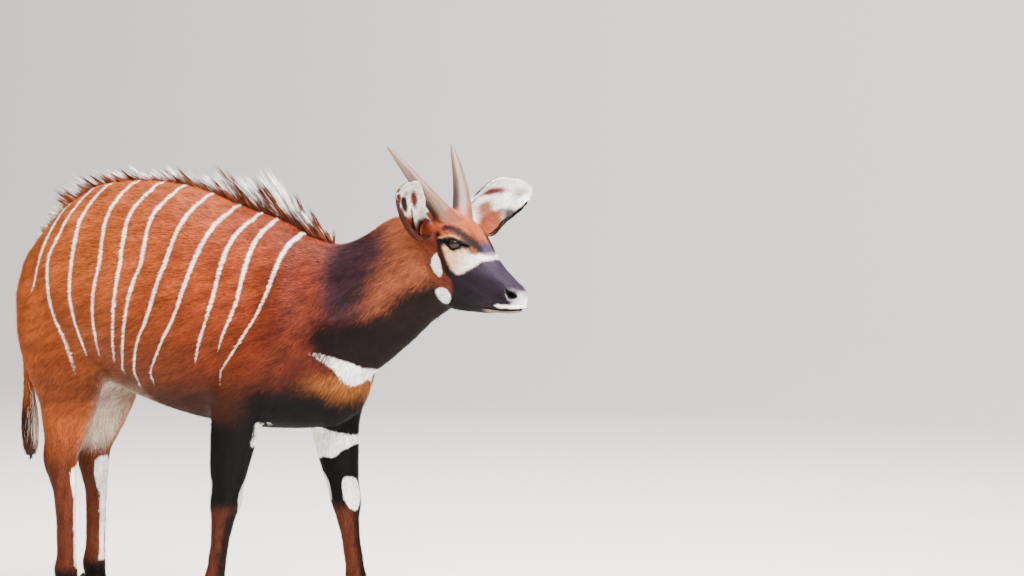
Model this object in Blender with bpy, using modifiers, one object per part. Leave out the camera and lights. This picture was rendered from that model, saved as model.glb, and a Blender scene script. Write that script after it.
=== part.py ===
"""A young mountain bongo, standing, life size, as a still museum model.

The animal faces +X, its left side is +Y, and its soles are on z = 0. Soft parts are lofted from
named sizes along the body, melted into one mass, and parted again with thin cuts into the pieces a
keeper would name. Horns, eyes, ears, hooves, tail and mane are solids of their own.
"""

import math
from collections import namedtuple

import bmesh
import bpy
import numpy as np
from mathutils import Matrix, Vector

# Driving dimensions, in metres
GAP = 0.0004                    # clear space between neighbouring pieces
BODY_VOXEL = 0.009
HEAD_VOXEL = 0.0045
BODY_FACES = 2660               # faces left on the body mass, and below on the head mass
HEAD_FACES = 1880

HOOF_HEIGHT = 0.056
HOOF_LENGTH = 0.098
HOOF_BREADTH = 0.070
CLEFT = 0.006

HEAD_TOP = Vector((0.850, -0.039, 1.125))   # crown of the head, between the horns
HEAD_YAW = math.radians(-10)                # turned a little to the right
HEAD_DIP = math.radians(27)                 # long axis of the head below the horizon

EYE_RADIUS = 0.0185
EYE_ALONG = 0.071
EYE_BELOW = 0.056
EYE_OUT = 0.0510

HORN_BASE_RADIUS = 0.0270
HORN_BASE = (-0.006, 0.033, -0.018)         # forward, outward and up from the crown, level
HORN_TIP = (-0.107, 0.138, 0.157)
HORN_SIDES = 10
HORN_BURIED = 0.16                          # share of its length that starts inside the head

EAR_LENGTH = 0.256                          # from just inside the head to the tip
EAR_WALL = 0.0055
EAR_ROOT = (-0.059, 0.077, -0.045)
EAR_AXIS = (0.368, 0.864, 0.344)            # the way an ear points, level, and the way it opens
EAR_OPENING = (0.812, -0.467, -0.031)

MANE_BREADTH = 0.022

# Where the pieces part: head from neck, neck from trunk, and each leg under the trunk and at its joint
NAPE_CUT = Vector((0.790, -0.030, 1.000))
NAPE_TURN = HEAD_YAW * 0.7
NAPE_LEAN = math.radians(-8)
BREAST_CUT = Vector((0.520, 0, 0.900))
BREAST_LEAN = math.radians(-20)
NECK_FLOOR = 0.585
FORE_CUTS = (0.546, 0.335)                  # heights of the two cuts
HIND_CUTS = (0.640, 0.400)
FORE_SPAN = (0.05, 0.75)                    # reach of the leg cuts fore and aft
HIND_SPAN = (-0.60, -0.112)
LEG_INNER = 0.030                           # the leg cuts start this far from the middle

# Sections of a lofted mass: place along it, top, widest level, bottom, half breadth
Section = namedtuple("Section", "along top widest bottom half")

TRUNK = (
    Section(-0.404, 0.930, 0.885, 0.835, 0.030),    # buttock
    Section(-0.388, 0.985, 0.885, 0.785, 0.082),
    Section(-0.350, 1.045, 0.890, 0.730, 0.130),    # pin bones
    Section(-0.300, 1.098, 0.890, 0.695, 0.166),
    Section(-0.240, 1.147, 0.890, 0.680, 0.184),    # hips
    Section(-0.165, 1.181, 0.885, 0.660, 0.196),
    Section(-0.060, 1.189, 0.875, 0.618, 0.207),    # loin
    Section(0.060, 1.181, 0.865, 0.582, 0.206),     # last ribs
    Section(0.150, 1.158, 0.855, 0.564, 0.194),
    Section(0.250, 1.122, 0.840, 0.552, 0.176),     # withers
    Section(0.335, 1.098, 0.830, 0.549, 0.162),
    Section(0.410, 1.064, 0.825, 0.552, 0.148),     # shoulders
    Section(0.490, 1.010, 0.815, 0.560, 0.122),
    Section(0.555, 0.950, 0.790, 0.596, 0.088),     # breast
    Section(0.590, 0.860, 0.760, 0.660, 0.040),
)

# The neck rings are square to its path: distance above, below and to each side of it
NeckRing = namedtuple("NeckRing", "x y z lean above below half")

NECK = (
    NeckRing(0.400, 0.000, 0.865, 8, 0.200, 0.250, 0.135),
    NeckRing(0.490, 0.000, 0.880, 14, 0.172, 0.225, 0.122),
    NeckRing(0.560, 0.000, 0.900, 19, 0.140, 0.196, 0.106),
    NeckRing(0.640, -0.005, 0.935, 26, 0.133, 0.168, 0.090),
    NeckRing(0.710, -0.015, 0.975, 29, 0.134, 0.152, 0.079),
    NeckRing(0.775, -0.026, 1.010, 27, 0.118, 0.150, 0.070),
    NeckRing(0.825, -0.034, 1.025, 18, 0.080, 0.140, 0.060),
)

# The head's sections are square to its long axis and measured from the crown
HEAD = (
    Section(-0.078, -0.062, -0.105, -0.165, 0.030),
    Section(-0.050, -0.024, -0.095, -0.205, 0.054),   # nape
    Section(-0.010, -0.003, -0.085, -0.230, 0.064),
    Section(0.035, -0.002, -0.070, -0.236, 0.069),    # horn bases
    Section(0.075, -0.012, -0.062, -0.234, 0.070),    # brow
    Section(0.110, -0.027, -0.072, -0.226, 0.063),
    Section(0.140, -0.041, -0.088, -0.214, 0.053),    # cheek
    Section(0.170, -0.053, -0.102, -0.201, 0.046),
    Section(0.205, -0.064, -0.110, -0.186, 0.041),    # bridge of the nose
    Section(0.240, -0.072, -0.112, -0.165, 0.0385),
    Section(0.262, -0.078, -0.114, -0.152, 0.0375),   # nostrils
    Section(0.277, -0.086, -0.115, -0.142, 0.033),
    Section(0.287, -0.097, -0.116, -0.134, 0.021),    # lips
)

# A leg's rings are level: height, and the middle and half size fore-and-aft and across
LegRing = namedtuple("LegRing", "z x y fore_aft across")

FORE_SHAPE = (
    LegRing(0.990, 0.050, -0.040, 0.050, 0.020),      # shoulder blade
    LegRing(0.900, 0.052, -0.012, 0.098, 0.044),
    LegRing(0.800, 0.050, 0.002, 0.122, 0.056),
    LegRing(0.700, 0.030, 0.004, 0.112, 0.058),       # upper arm
    LegRing(0.620, 0.010, 0.000, 0.086, 0.052),       # elbow
    LegRing(0.540, 0.000, -0.002, 0.068, 0.046),
    LegRing(0.455, -0.002, -0.003, 0.055, 0.040),
    LegRing(0.400, 0.000, -0.004, 0.046, 0.037),
    LegRing(0.360, 0.002, -0.004, 0.045, 0.037),      # knee
    LegRing(0.322, 0.000, -0.004, 0.034, 0.030),
    LegRing(0.250, 0.000, -0.004, 0.028, 0.024),      # cannon
    LegRing(0.190, 0.000, -0.004, 0.028, 0.024),
    LegRing(0.150, -0.003, -0.004, 0.034, 0.029),     # fetlock
    LegRing(0.110, 0.004, -0.004, 0.029, 0.027),
    LegRing(0.075, 0.014, -0.004, 0.031, 0.029),      # pastern
    LegRing(0.045, 0.022, -0.004, 0.036, 0.031),
)

HIND_SHAPE = (
    LegRing(1.040, -0.030, -0.035, 0.060, 0.024),     # hip
    LegRing(0.950, -0.022, -0.004, 0.102, 0.050),
    LegRing(0.860, -0.010, 0.010, 0.122, 0.064),
    LegRing(0.760, 0.004, 0.012, 0.128, 0.070),       # thigh
    LegRing(0.680, 0.020, 0.014, 0.116, 0.062),       # stifle
    LegRing(0.610, 0.024, 0.012, 0.092, 0.050),
    LegRing(0.550, 0.016, 0.008, 0.074, 0.042),       # gaskin
    LegRing(0.500, 0.004, 0.004, 0.060, 0.035),
    LegRing(0.455, -0.012, 0.002, 0.054, 0.031),      # hock
    LegRing(0.415, -0.008, 0.000, 0.046, 0.030),
    LegRing(0.360, 0.000, 0.000, 0.035, 0.026),
    LegRing(0.280, 0.002, 0.000, 0.030, 0.024),       # cannon
    LegRing(0.200, 0.002, 0.000, 0.030, 0.024),
    LegRing(0.155, -0.002, 0.000, 0.036, 0.029),      # fetlock
    LegRing(0.112, 0.006, 0.000, 0.030, 0.027),
    LegRing(0.075, 0.016, 0.000, 0.031, 0.028),       # pastern
    LegRing(0.045, 0.024, 0.000, 0.036, 0.030),
)
LEG_TOP = 0.900         # a leg slants from here down

# Stance: for each foot, its outline, side (-1 right), and where the top and the hoof stand
Stance = namedtuple("Stance", "name shape side top_x top_y hoof_x hoof_y")

STANCES = (
    Stance("fore_right", FORE_SHAPE, -1, 0.322, 0.118, 0.170, 0.092),
    Stance("fore_left", FORE_SHAPE, 1, 0.376, 0.118, 0.530, 0.090),
    Stance("hind_right", HIND_SHAPE, -1, -0.255, 0.105, -0.262, 0.078),
    Stance("hind_left", HIND_SHAPE, 1, -0.266, 0.105, -0.276, 0.080),
)

COLOURS = {
    "rust": ("#9A4A22", 0.75),
    "dark": ("#2A2120", 0.75),
    "horn": ("#6E6156", 0.40),
    "hoof": ("#2B2724", 0.45),
    "eye": ("#1A1210", 0.10),
    "white": ("#D8CFC2", 0.80),
}


def clear_scene():
    for item in list(bpy.data.objects):
        bpy.data.objects.remove(item, do_unlink=True)


def make_collection(name, hidden=False):
    collection = bpy.data.collections.new(name)
    collection.hide_render = hidden
    bpy.context.scene.collection.children.link(collection)
    return collection


def material(name):
    """A plain finish; hex colour made linear."""
    found = bpy.data.materials.get(name)
    if found:
        return found
    code, roughness = COLOURS[name]
    levels = [int(code[i:i + 2], 16) / 255 for i in (1, 3, 5)]
    linear = [c / 12.92 if c <= 0.04045 else ((c + 0.055) / 1.055) ** 2.4 for c in levels]
    made = bpy.data.materials.new(name)
    made.use_nodes = True
    shader = made.node_tree.nodes["Principled BSDF"]
    shader.inputs["Base Color"].default_value = (*linear, 1)
    shader.inputs["Roughness"].default_value = roughness
    shader.inputs["Metallic"].default_value = 0
    return made


def flow(stations, values, at):
    """Values between stations, on a smooth curve that never overshoots them."""
    x = np.asarray(stations, float)
    y = np.asarray(values, float)
    step = np.diff(x)
    slope = np.diff(y) / step
    tangent = np.empty_like(y)
    tangent[0] = slope[0]
    tangent[-1] = slope[-1]
    for i in range(1, len(x) - 1):
        before, after = slope[i - 1], slope[i]
        tangent[i] = 0 if before * after <= 0 else 2 * before * after / (before + after)
    i = np.clip(np.searchsorted(x, at) - 1, 0, len(step) - 1)
    t = (np.asarray(at) - x[i]) / step[i]
    return (
        y[i] * (1 + 2 * t) * (1 - t) ** 2
        + tangent[i] * step[i] * t * (1 - t) ** 2
        + y[i + 1] * t * t * (3 - 2 * t)
        + tangent[i + 1] * step[i] * t * t * (t - 1)
    )


def refine(rows, spacing):
    """The rows of a loft with more between them, evenly spaced along its first value."""
    table = np.array(rows, float)
    order = np.argsort(table[:, 0])
    table = table[order]
    count = max(2, round((table[-1, 0] - table[0, 0]) / spacing) + 1)
    at = np.linspace(table[0, 0], table[-1, 0], count)
    return np.stack([at] + [flow(table[:, 0], table[:, k], at) for k in range(1, table.shape[1])], 1)


def oval(above, below, half, power=2.3, count=28):
    """A closed outline in (side, up), fuller than an ellipse, with its widest level at 0."""
    angle = np.linspace(0, 2 * math.pi, count, endpoint=False)
    side = np.sign(np.cos(angle)) * np.abs(np.cos(angle)) ** (2 / power) * half
    up = np.sign(np.sin(angle)) * np.abs(np.sin(angle)) ** (2 / power)
    return np.stack([side, np.where(up > 0, up * above, up * below)], 1)


def loft(name, rings, collection):
    """A closed skin over rings of points, all with the same count."""
    mesh = bmesh.new()
    loops = [[mesh.verts.new(point) for point in ring] for ring in rings]
    for first, second in zip(loops, loops[1:]):
        for i in range(len(first)):
            j = (i + 1) % len(first)
            mesh.faces.new((first[i], first[j], second[j], second[i]))
    mesh.faces.new(list(reversed(loops[0])))
    mesh.faces.new(loops[-1])
    bmesh.ops.recalc_face_normals(mesh, faces=mesh.faces)
    data = bpy.data.meshes.new(name)
    mesh.to_mesh(data)
    mesh.free()
    made = bpy.data.objects.new(name, data)
    collection.objects.link(made)
    return made


def head_point(along, out, up):
    """World place of a point given in the head's own directions."""
    turn = Matrix.Rotation(HEAD_YAW, 3, "Z") @ Matrix.Rotation(HEAD_DIP, 3, "Y")
    return HEAD_TOP + turn @ Vector((along, out, up))


def head_level(forward, out, up):
    """World vector from the level forward, leftward and upward parts of the turned head."""
    return Matrix.Rotation(HEAD_YAW, 3, "Z") @ Vector((forward, out, up))


def trunk_mass(scratch):
    rings = []
    for along, top, widest, bottom, half in refine(TRUNK, 0.03):
        outline = oval(top - widest, widest - bottom, half, 2.15)
        rings.append([(along, side, widest + up) for side, up in outline])
    return loft("trunk mass", rings, scratch)


def neck_mass(scratch):
    rings = []
    for x, y, z, lean, above, below, half in refine(NECK, 0.03):
        tilt = math.radians(lean)
        outline = oval(above, below, half, 2.1)
        rings.append(
            [(x - math.sin(tilt) * up, y + side, z + math.cos(tilt) * up) for side, up in outline]
        )
    return loft("neck mass", rings, scratch)


def head_mass(scratch):
    rings = []
    for along, top, widest, bottom, half in refine(HEAD, 0.012):
        outline = oval(top - widest, widest - bottom, half, 2.25)
        rings.append([head_point(along, side, widest + up) for side, up in outline])
    return loft("head mass", rings, scratch)


def leg_rings(stance, spacing=0.02):
    """Level rings of a leg, shifted so that it stands from its top to its hoof."""
    shape = sorted(stance.shape)
    foot = shape[0].z
    rings = []
    for z, x, y, fore_aft, across in refine(shape, spacing):
        share = max(0, (LEG_TOP - z) / (LEG_TOP - foot))
        middle_x = stance.top_x + (stance.hoof_x - stance.top_x) * share + x
        middle_y = stance.top_y + (stance.hoof_y - stance.top_y) * share + y
        outline = oval(fore_aft, fore_aft, across, 2.1, 20)
        rings.append(
            [(middle_x + along, stance.side * middle_y + side, z) for side, along in outline]
        )
    return rings


def ball(name, centre, radii, collection, turn=(0, 0, 0), rings=16):
    mesh = bmesh.new()
    bmesh.ops.create_uvsphere(mesh, u_segments=2 * rings, v_segments=rings, radius=1)
    data = bpy.data.meshes.new(name)
    mesh.to_mesh(data)
    mesh.free()
    place = Matrix.Translation(centre)
    for axis, angle in zip("XYZ", turn):
        place = place @ Matrix.Rotation(math.radians(angle), 4, axis)
    data.transform(place @ Matrix.Diagonal((*radii, 1)))
    made = bpy.data.objects.new(name, data)
    collection.objects.link(made)
    return made


def evaluated_copy(source, name, collection):
    """A new object holding the source's mesh with its modifiers applied."""
    graph = bpy.context.evaluated_depsgraph_get()
    data = bpy.data.meshes.new_from_object(source.evaluated_get(graph))
    data.name = name
    data.transform(source.matrix_world)
    made = bpy.data.objects.new(name, data)
    collection.objects.link(made)
    return made


def melt(name, pieces, voxel, faces, scratch, rounds=6):
    """Overlapping pieces run together into one smooth mass of about the given number of faces."""
    data = bpy.data.meshes.new(name)
    mesh = bmesh.new()
    for piece in pieces:
        mesh.from_mesh(piece.data)
    mesh.to_mesh(data)
    mesh.free()
    joined = bpy.data.objects.new(name + " joined", data)
    scratch.objects.link(joined)
    remesh = joined.modifiers.new("melt", "REMESH")
    remesh.mode = "VOXEL"
    remesh.voxel_size = voxel
    even = joined.modifiers.new("even", "SMOOTH")
    even.factor = 0.5
    even.iterations = rounds
    fine = evaluated_copy(joined, name + " fine", scratch)
    fewer = fine.modifiers.new("fewer", "DECIMATE")
    fewer.ratio = faces / (2 * len(fine.data.polygons))
    fewer.use_collapse_triangulate = True
    return evaluated_copy(fine, name, scratch)


def inflated(source, name, scratch):
    """A copy of a solid grown by the gap, for cutting its neighbours clear of it."""
    grown = evaluated_copy(source, name, scratch)
    swell = grown.modifiers.new("swell", "DISPLACE")
    swell.strength = GAP
    swell.mid_level = 0
    return evaluated_copy(grown, name + " cutter", scratch)


def block(name, low, high, scratch, turn=None, about=None):
    """A box between two corners, turned about a point, used to part the masses."""
    mesh = bmesh.new()
    bmesh.ops.create_cube(mesh, size=1)
    data = bpy.data.meshes.new(name)
    mesh.to_mesh(data)
    mesh.free()
    low, high = Vector(low), Vector(high)
    data.transform(Matrix.Translation((low + high) / 2) @ Matrix.Diagonal((*(high - low), 1)))
    if turn is not None:
        about = Vector(about)
        data.transform(Matrix.Translation(about) @ turn.to_4x4() @ Matrix.Translation(-about))
    made = bpy.data.objects.new(name, data)
    scratch.objects.link(made)
    return made


def both_sides(name, place, turn, scratch):
    """Two boxes that meet, a gap apart, in a plane turned about a place: in front of it and behind it."""
    half_gap = Vector((GAP / 2, 0, 0))
    reach = Vector((1.4, 1, 1.4))
    across = Vector((0, 1, 1.4))
    front = block("past " + name, place + half_gap - across, place + reach, scratch, turn, place)
    back = block("before " + name, place - reach, place - half_gap + across, scratch, turn, place)
    return front, back


def carve(name, source, steps, parts, scratch, finish):
    """A node: the source's mesh with Boolean steps of (operation, other) applied in turn."""
    work = evaluated_copy(source, name + " work", scratch)
    for operation, other in steps:
        cut = work.modifiers.new(operation.lower() + " " + other.name, "BOOLEAN")
        cut.operation = operation
        cut.solver = "EXACT"
        cut.object = other
    made = evaluated_copy(work, name, parts)
    keep_largest(made)
    made.data.materials.clear()
    made.data.materials.append(material(finish))
    made.data.shade_smooth()
    made.data.set_sharp_from_angle(angle=math.radians(50))
    return made


def keep_largest(item):
    """Drops any loose crumb that a cut leaves beside the main body."""
    mesh = bmesh.new()
    mesh.from_mesh(item.data)
    bmesh.ops.remove_doubles(mesh, verts=mesh.verts, dist=1e-6)
    left = set(mesh.faces)
    islands = []
    while left:
        island, edge = set(), [left.pop()]
        while edge:
            face = edge.pop()
            island.add(face)
            near = {f for e in face.edges for f in e.link_faces} & left
            left -= near
            edge.extend(near)
        islands.append(island)
    islands.sort(key=len, reverse=True)
    crumbs = [face for island in islands[1:] for face in island]
    bmesh.ops.delete(mesh, geom=crumbs, context="FACES")
    mesh.to_mesh(item.data)
    mesh.free()


def build_leg(stance, body, parts, scratch):
    """The leg's upper and lower nodes; also the room that the trunk leaves for them."""
    pair, side_word = stance.name.split("_")
    fore = pair == "fore"
    top, split = FORE_CUTS if fore else HIND_CUTS
    start, end = FORE_SPAN if fore else HIND_SPAN
    near, far = sorted((stance.side * LEG_INNER, stance.side * 0.4))
    upper = block("upper " + stance.name, (start, near, split + GAP), (end, far, top), scratch)
    lower = block("lower " + stance.name, (start, near, HOOF_HEIGHT + GAP), (end, far, split), scratch)
    room = block("room " + stance.name, (start - 0.01, near - GAP, -0.02), (end + 0.01, far + GAP, top + GAP),
                 scratch)
    words = ("forearm", "fore_cannon") if fore else ("thigh", "hind_cannon")
    carve(f"{words[0]}_{side_word}", body, [("INTERSECT", upper)], parts, scratch, "rust")
    shank = carve(f"{words[1]}_{side_word}", body, [("INTERSECT", lower)], parts, scratch, "dark")
    return shank, room


def hoof_solid(stance, scratch):
    """One cloven hoof with a flat sole, its two claws joined under the coronet."""
    foot = min(stance.shape)
    middle_x = stance.hoof_x + foot.x + 0.002
    middle_y = stance.side * (stance.hoof_y + foot.y)
    hind = stance.shape is HIND_SHAPE
    length = HOOF_LENGTH * (0.94 if hind else 1)
    breadth = HOOF_BREADTH * (0.92 if hind else 1)
    rings = []
    for share in np.linspace(0, 1, 4):
        half_length = length / 2 * (1 - 0.25 * share)
        half_breadth = breadth / 2 * (1 - 0.14 * share)
        shift = 0.012 * (1 - share)
        outline = []
        for side, along in oval(half_length, half_length * 0.92, half_breadth, 2.3, 16):
            toe = max(0, along / half_length)
            outline.append((middle_x + shift + along, middle_y + side * (1 - 0.25 * toe ** 2),
                            share * HOOF_HEIGHT))
        rings.append(outline)
    return loft("hoof block " + stance.name, rings, scratch), middle_x, middle_y


def build_hoof(stance, parts, scratch):
    shape, x, y = hoof_solid(stance, scratch)
    reach = HOOF_LENGTH
    lower = block("cleft", (x - reach, y - CLEFT / 2, -0.01),
                  (x + reach, y + CLEFT / 2, HOOF_HEIGHT * 0.72), scratch)
    front = block("cleft front", (x + HOOF_LENGTH * 0.22, y - CLEFT / 2, -0.01),
                  (x + reach, y + CLEFT / 2, HOOF_HEIGHT + 0.01), scratch)
    steps = [("DIFFERENCE", lower), ("DIFFERENCE", front)]
    carve("hoof_" + stance.name, shape, steps, parts, scratch, "hoof")


def build_dewclaws(stance, leg, parts, scratch):
    """Two small horny points behind the fetlock."""
    rings = leg_rings(stance)
    near = min(rings, key=lambda ring: abs(ring[0][2] - 0.118))
    back = min(point[0] for point in near)
    middle = sum(point[1] for point in near) / len(near)
    cutter = inflated(leg, "around " + leg.name, scratch)
    for word, side in (("outer", stance.side), ("inner", -stance.side)):
        point = ball("claw", (back + 0.001, middle + side * 0.013, 0.112), (0.013, 0.0085, 0.018),
                     scratch, turn=(0, 28, 0), rings=4)
        carve(f"dewclaw_{stance.name}_{word}", point, [("DIFFERENCE", cutter)], parts, scratch, "hoof")


def horn_mass(side, scratch):
    """A tapering horn, keeled in front, leaving the crown up, back and out in a shallow bow."""
    base, tip = (HEAD_TOP + head_level(x, side * y, z) for x, y, z in (HORN_BASE, HORN_TIP))
    start = base - (tip - base) * HORN_BURIED
    axis = (tip - start).normalized()
    fore = head_level(1, 0, 0)
    fore = (fore - axis * fore.dot(axis)).normalized()
    across = axis.cross(fore)
    outward = across * (1 if across.dot(head_level(0, side, 0)) > 0 else -1)
    rings = []
    for share in np.linspace(0, 1, 10):
        bow = math.sin(math.pi * share)
        centre = start + (tip - start) * float(share) + (fore * 0.006 + outward * 0.007) * bow
        radius = HORN_BASE_RADIUS * (1 - share) ** 0.74 + 0.0022
        ring = []
        for i in range(HORN_SIDES):
            angle = 2 * math.pi * i / HORN_SIDES
            keel = 1 + 0.10 * max(0, math.cos(angle)) ** 4
            ring.append(centre + (fore * math.cos(angle) * keel + across * math.sin(angle) * 0.9) * radius)
        rings.append(ring)
    return loft("horn mass", rings, scratch)


def ear_shell(side, scratch):
    """A broad cupped ear: arcs of a cone that open from a tube at the root to a flat round tip."""
    root, axis, opening = (
        head_level(x, side * y, z) for x, y, z in (EAR_ROOT, EAR_AXIS, EAR_OPENING)
    )
    root += HEAD_TOP
    axis.normalize()
    opening = (opening - axis * opening.dot(axis)).normalized()
    across = axis.cross(opening) * side
    lengths = (-0.15, 0, 0.14, 0.35, 0.58, 0.78, 0.92, 1)
    uppers = (0.020, 0.024, 0.028, 0.058, 0.072, 0.056, 0.036, 0.006)
    lowers = (0.022, 0.028, 0.032, 0.060, 0.048, 0.039, 0.026, 0.006)
    sweeps = (145, 135, 116, 88, 74, 64, 54, 44)
    mesh = bmesh.new()
    rows = []
    for u in np.linspace(lengths[0], 1, 9):
        sweep = math.radians(flow(lengths, sweeps, u))
        lean = 0.014 * math.sin(math.pi * max(0, u))
        row = []
        for v in np.linspace(-1, 1, 8):
            half = flow(lengths, uppers if v < 0 else lowers, u)
            radius = half / math.sin(min(sweep, math.pi / 2))
            angle = sweep * v
            row.append(mesh.verts.new(
                root + axis * EAR_LENGTH * (u - 0.05 * v * v * u)
                + across * radius * math.sin(angle)
                + opening * (radius * 0.8 * (1 - math.cos(angle)) - lean)
            ))
        rows.append(row)
    for first, second in zip(rows, rows[1:]):
        for i in range(len(first) - 1):
            mesh.faces.new((first[i], first[i + 1], second[i + 1], second[i]))
    data = bpy.data.meshes.new("ear shell")
    mesh.to_mesh(data)
    mesh.free()
    made = bpy.data.objects.new("ear shell", data)
    scratch.objects.link(made)
    wall = made.modifiers.new("wall", "SOLIDIFY")
    wall.thickness = EAR_WALL
    wall.offset = 0
    return made


def tail_mass(scratch):
    """Root on the rump, hanging down close to the buttocks, with a long tuft."""
    places = (0, 0.10, 0.35, 0.62, 0.80, 0.93, 1.0)
    halves = (0.027, 0.025, 0.021, 0.018, 0.027, 0.022, 0.006)
    rings = []
    for share in np.linspace(0, 1, 13):
        swing = math.sin(min(1, share * 2.0) * math.pi / 2)
        x = -0.360 - 0.068 * swing + 0.020 * max(0, share - 0.45)
        z = 1.000 - 0.560 * share
        half = float(flow(places, halves, share))
        outline = oval(half * 0.85, half * 0.85, half, 2.0, 12)
        rings.append([(x + along, side, z + 0.35 * along) for side, along in outline])
    return loft("tail mass", rings, scratch)


def mane_mass(scratch):
    """The standing crest, a thin fin from rump to nape whose height follows the hair's."""
    places = (-0.35, -0.30, -0.24, -0.12, 0.05, 0.15, 0.23, 0.32, 0.41, 0.455, 0.50)
    heights = (0.004, 0.016, 0.026, 0.019, 0.018, 0.028, 0.046, 0.062, 0.066, 0.046, 0.008)
    spine = [(s.along, s.top) for s in TRUNK if s.along < 0.45]
    spine += [(0.486, 1.049), (0.549, 1.034), (0.620, 1.062)]
    along, level = zip(*sorted(spine))
    rings = []
    for x in np.linspace(places[0], places[-1], 26):
        z = float(flow(along, level, x))
        height = float(flow(places, heights, x))
        outline = [(-MANE_BREADTH / 2, -0.03), (MANE_BREADTH / 2, -0.03), (0.0045, height * 0.8),
                   (0.0015, height), (-0.0015, height), (-0.0045, height * 0.8)]
        rings.append([(x - 0.45 * max(0, up), side, z + up) for side, up in outline])
    return loft("mane mass", rings, scratch)


def centre_on_floor(parts):
    """Moves the whole animal so that the middle of its box is over the origin."""
    corners = np.array([v.co[:] for item in parts.objects for v in item.data.vertices])
    low, high = corners.min(0), corners.max(0)
    shift = Vector((-(low[0] + high[0]) / 2, -(low[1] + high[1]) / 2, -low[2]))
    for item in parts.objects:
        item.data.transform(Matrix.Translation(shift))


def remove_scratch(scratch):
    for item in list(scratch.objects):
        bpy.data.objects.remove(item, do_unlink=True)
    bpy.data.collections.remove(scratch)


def main():
    clear_scene()
    parts = make_collection("bongo")
    scratch = make_collection("masses and cutters", hidden=True)

    trunk = trunk_mass(scratch)
    neck = neck_mass(scratch)
    head = head_mass(scratch)
    legs = [loft("leg " + s.name, leg_rings(s), scratch) for s in STANCES]
    brows = [
        ball("brow", head_point(EYE_ALONG - 0.004, side * (EYE_OUT - 0.004), -0.050),
             (0.030, 0.020, 0.026), scratch, turn=(0, 27, 0))
        for side in (-1, 1)
    ]
    body = melt("body flesh", [trunk, neck] + legs, BODY_VOXEL, BODY_FACES, scratch)
    face = melt("head flesh", [neck, head] + brows, HEAD_VOXEL, HEAD_FACES, scratch)

    nape_turn = Matrix.Rotation(NAPE_TURN, 3, "Z") @ Matrix.Rotation(NAPE_LEAN, 3, "Y")
    breast_turn = Matrix.Rotation(BREAST_LEAN, 3, "Y")
    head_box, before_nape = both_sides("nape", NAPE_CUT, nape_turn, scratch)
    past_breast, before_breast = both_sides("breast", BREAST_CUT, breast_turn, scratch)

    trunk_steps = [("INTERSECT", before_breast)]
    for stance in STANCES:
        shank, room = build_leg(stance, body, parts, scratch)
        trunk_steps.append(("DIFFERENCE", room))
        build_hoof(stance, parts, scratch)
        build_dewclaws(stance, shank, parts, scratch)

    trunk_node = carve("trunk", body, trunk_steps, parts, scratch, "rust")
    neck_floor = block("neck floor", (0, -0.4, -0.1), (1, 0.4, NECK_FLOOR), scratch)
    neck_node = carve("neck", face, [("INTERSECT", before_nape), ("INTERSECT", past_breast),
                                     ("DIFFERENCE", neck_floor)], parts, scratch, "rust")
    sockets = []
    for side, word in ((-1, "right"), (1, "left")):
        centre = head_point(EYE_ALONG, side * EYE_OUT, -EYE_BELOW)
        sockets.append(("DIFFERENCE", ball("socket", centre, [EYE_RADIUS + GAP] * 3, scratch, rings=12)))
        globe = ball("globe", centre, [EYE_RADIUS] * 3, scratch, rings=6)
        carve("eye_" + word, globe, [], parts, scratch, "eye")
    head_node = carve("head", face, [("INTERSECT", head_box)] + sockets, parts, scratch, "rust")

    around_head = inflated(head_node, "around head", scratch)
    around_trunk = inflated(trunk_node, "around trunk", scratch)
    around_neck = inflated(neck_node, "around neck", scratch)
    for side, word in ((-1, "right"), (1, "left")):
        shell = ear_shell(side, scratch)
        horn = carve("horn_" + word, horn_mass(side, scratch), [("DIFFERENCE", around_head)],
                     parts, scratch, "horn")
        around_horn = inflated(horn, "around horn", scratch)
        carve("ear_" + word, shell, [("DIFFERENCE", around_head), ("DIFFERENCE", around_neck),
                                     ("DIFFERENCE", around_horn)], parts, scratch, "rust")
    tail = carve("tail", tail_mass(scratch), [("DIFFERENCE", around_trunk)], parts, scratch, "rust")
    around_tail = inflated(tail, "around tail", scratch)
    carve("mane", mane_mass(scratch), [("DIFFERENCE", around_trunk), ("DIFFERENCE", around_neck),
                                       ("DIFFERENCE", around_tail)], parts, scratch, "white")

    centre_on_floor(parts)
    remove_scratch(scratch)


main()
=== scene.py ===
import math
from functools import partial

import bmesh
import bpy
import numpy as np
from mathutils import Matrix, Vector
from mathutils.kdtree import KDTree


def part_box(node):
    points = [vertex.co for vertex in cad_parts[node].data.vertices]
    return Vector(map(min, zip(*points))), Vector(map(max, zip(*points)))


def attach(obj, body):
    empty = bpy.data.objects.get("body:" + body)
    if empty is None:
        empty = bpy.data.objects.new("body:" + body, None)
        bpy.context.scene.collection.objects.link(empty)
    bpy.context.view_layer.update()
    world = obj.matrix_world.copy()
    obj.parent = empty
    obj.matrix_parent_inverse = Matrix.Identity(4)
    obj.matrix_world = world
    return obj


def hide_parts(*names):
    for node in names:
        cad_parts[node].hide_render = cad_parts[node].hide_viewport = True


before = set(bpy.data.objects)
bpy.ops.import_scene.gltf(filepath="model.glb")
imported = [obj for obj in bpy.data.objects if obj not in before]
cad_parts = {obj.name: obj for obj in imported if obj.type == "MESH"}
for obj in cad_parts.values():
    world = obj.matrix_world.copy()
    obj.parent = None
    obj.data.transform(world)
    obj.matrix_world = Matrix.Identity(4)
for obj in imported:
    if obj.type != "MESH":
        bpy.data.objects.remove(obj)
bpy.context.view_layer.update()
print("frame loaded:", len(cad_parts), "nodes")


def hexLinear(code):
    # sRGB hex to linear light
    levels = np.array([int(code[i:i + 2], 16) / 255 for i in (1, 3, 5)])
    return np.where(levels <= 0.04045, levels / 12.92, ((levels + 0.055) / 1.055) ** 2.4)


def hexColour(code):
    return (*hexLinear(code), 1)


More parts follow.
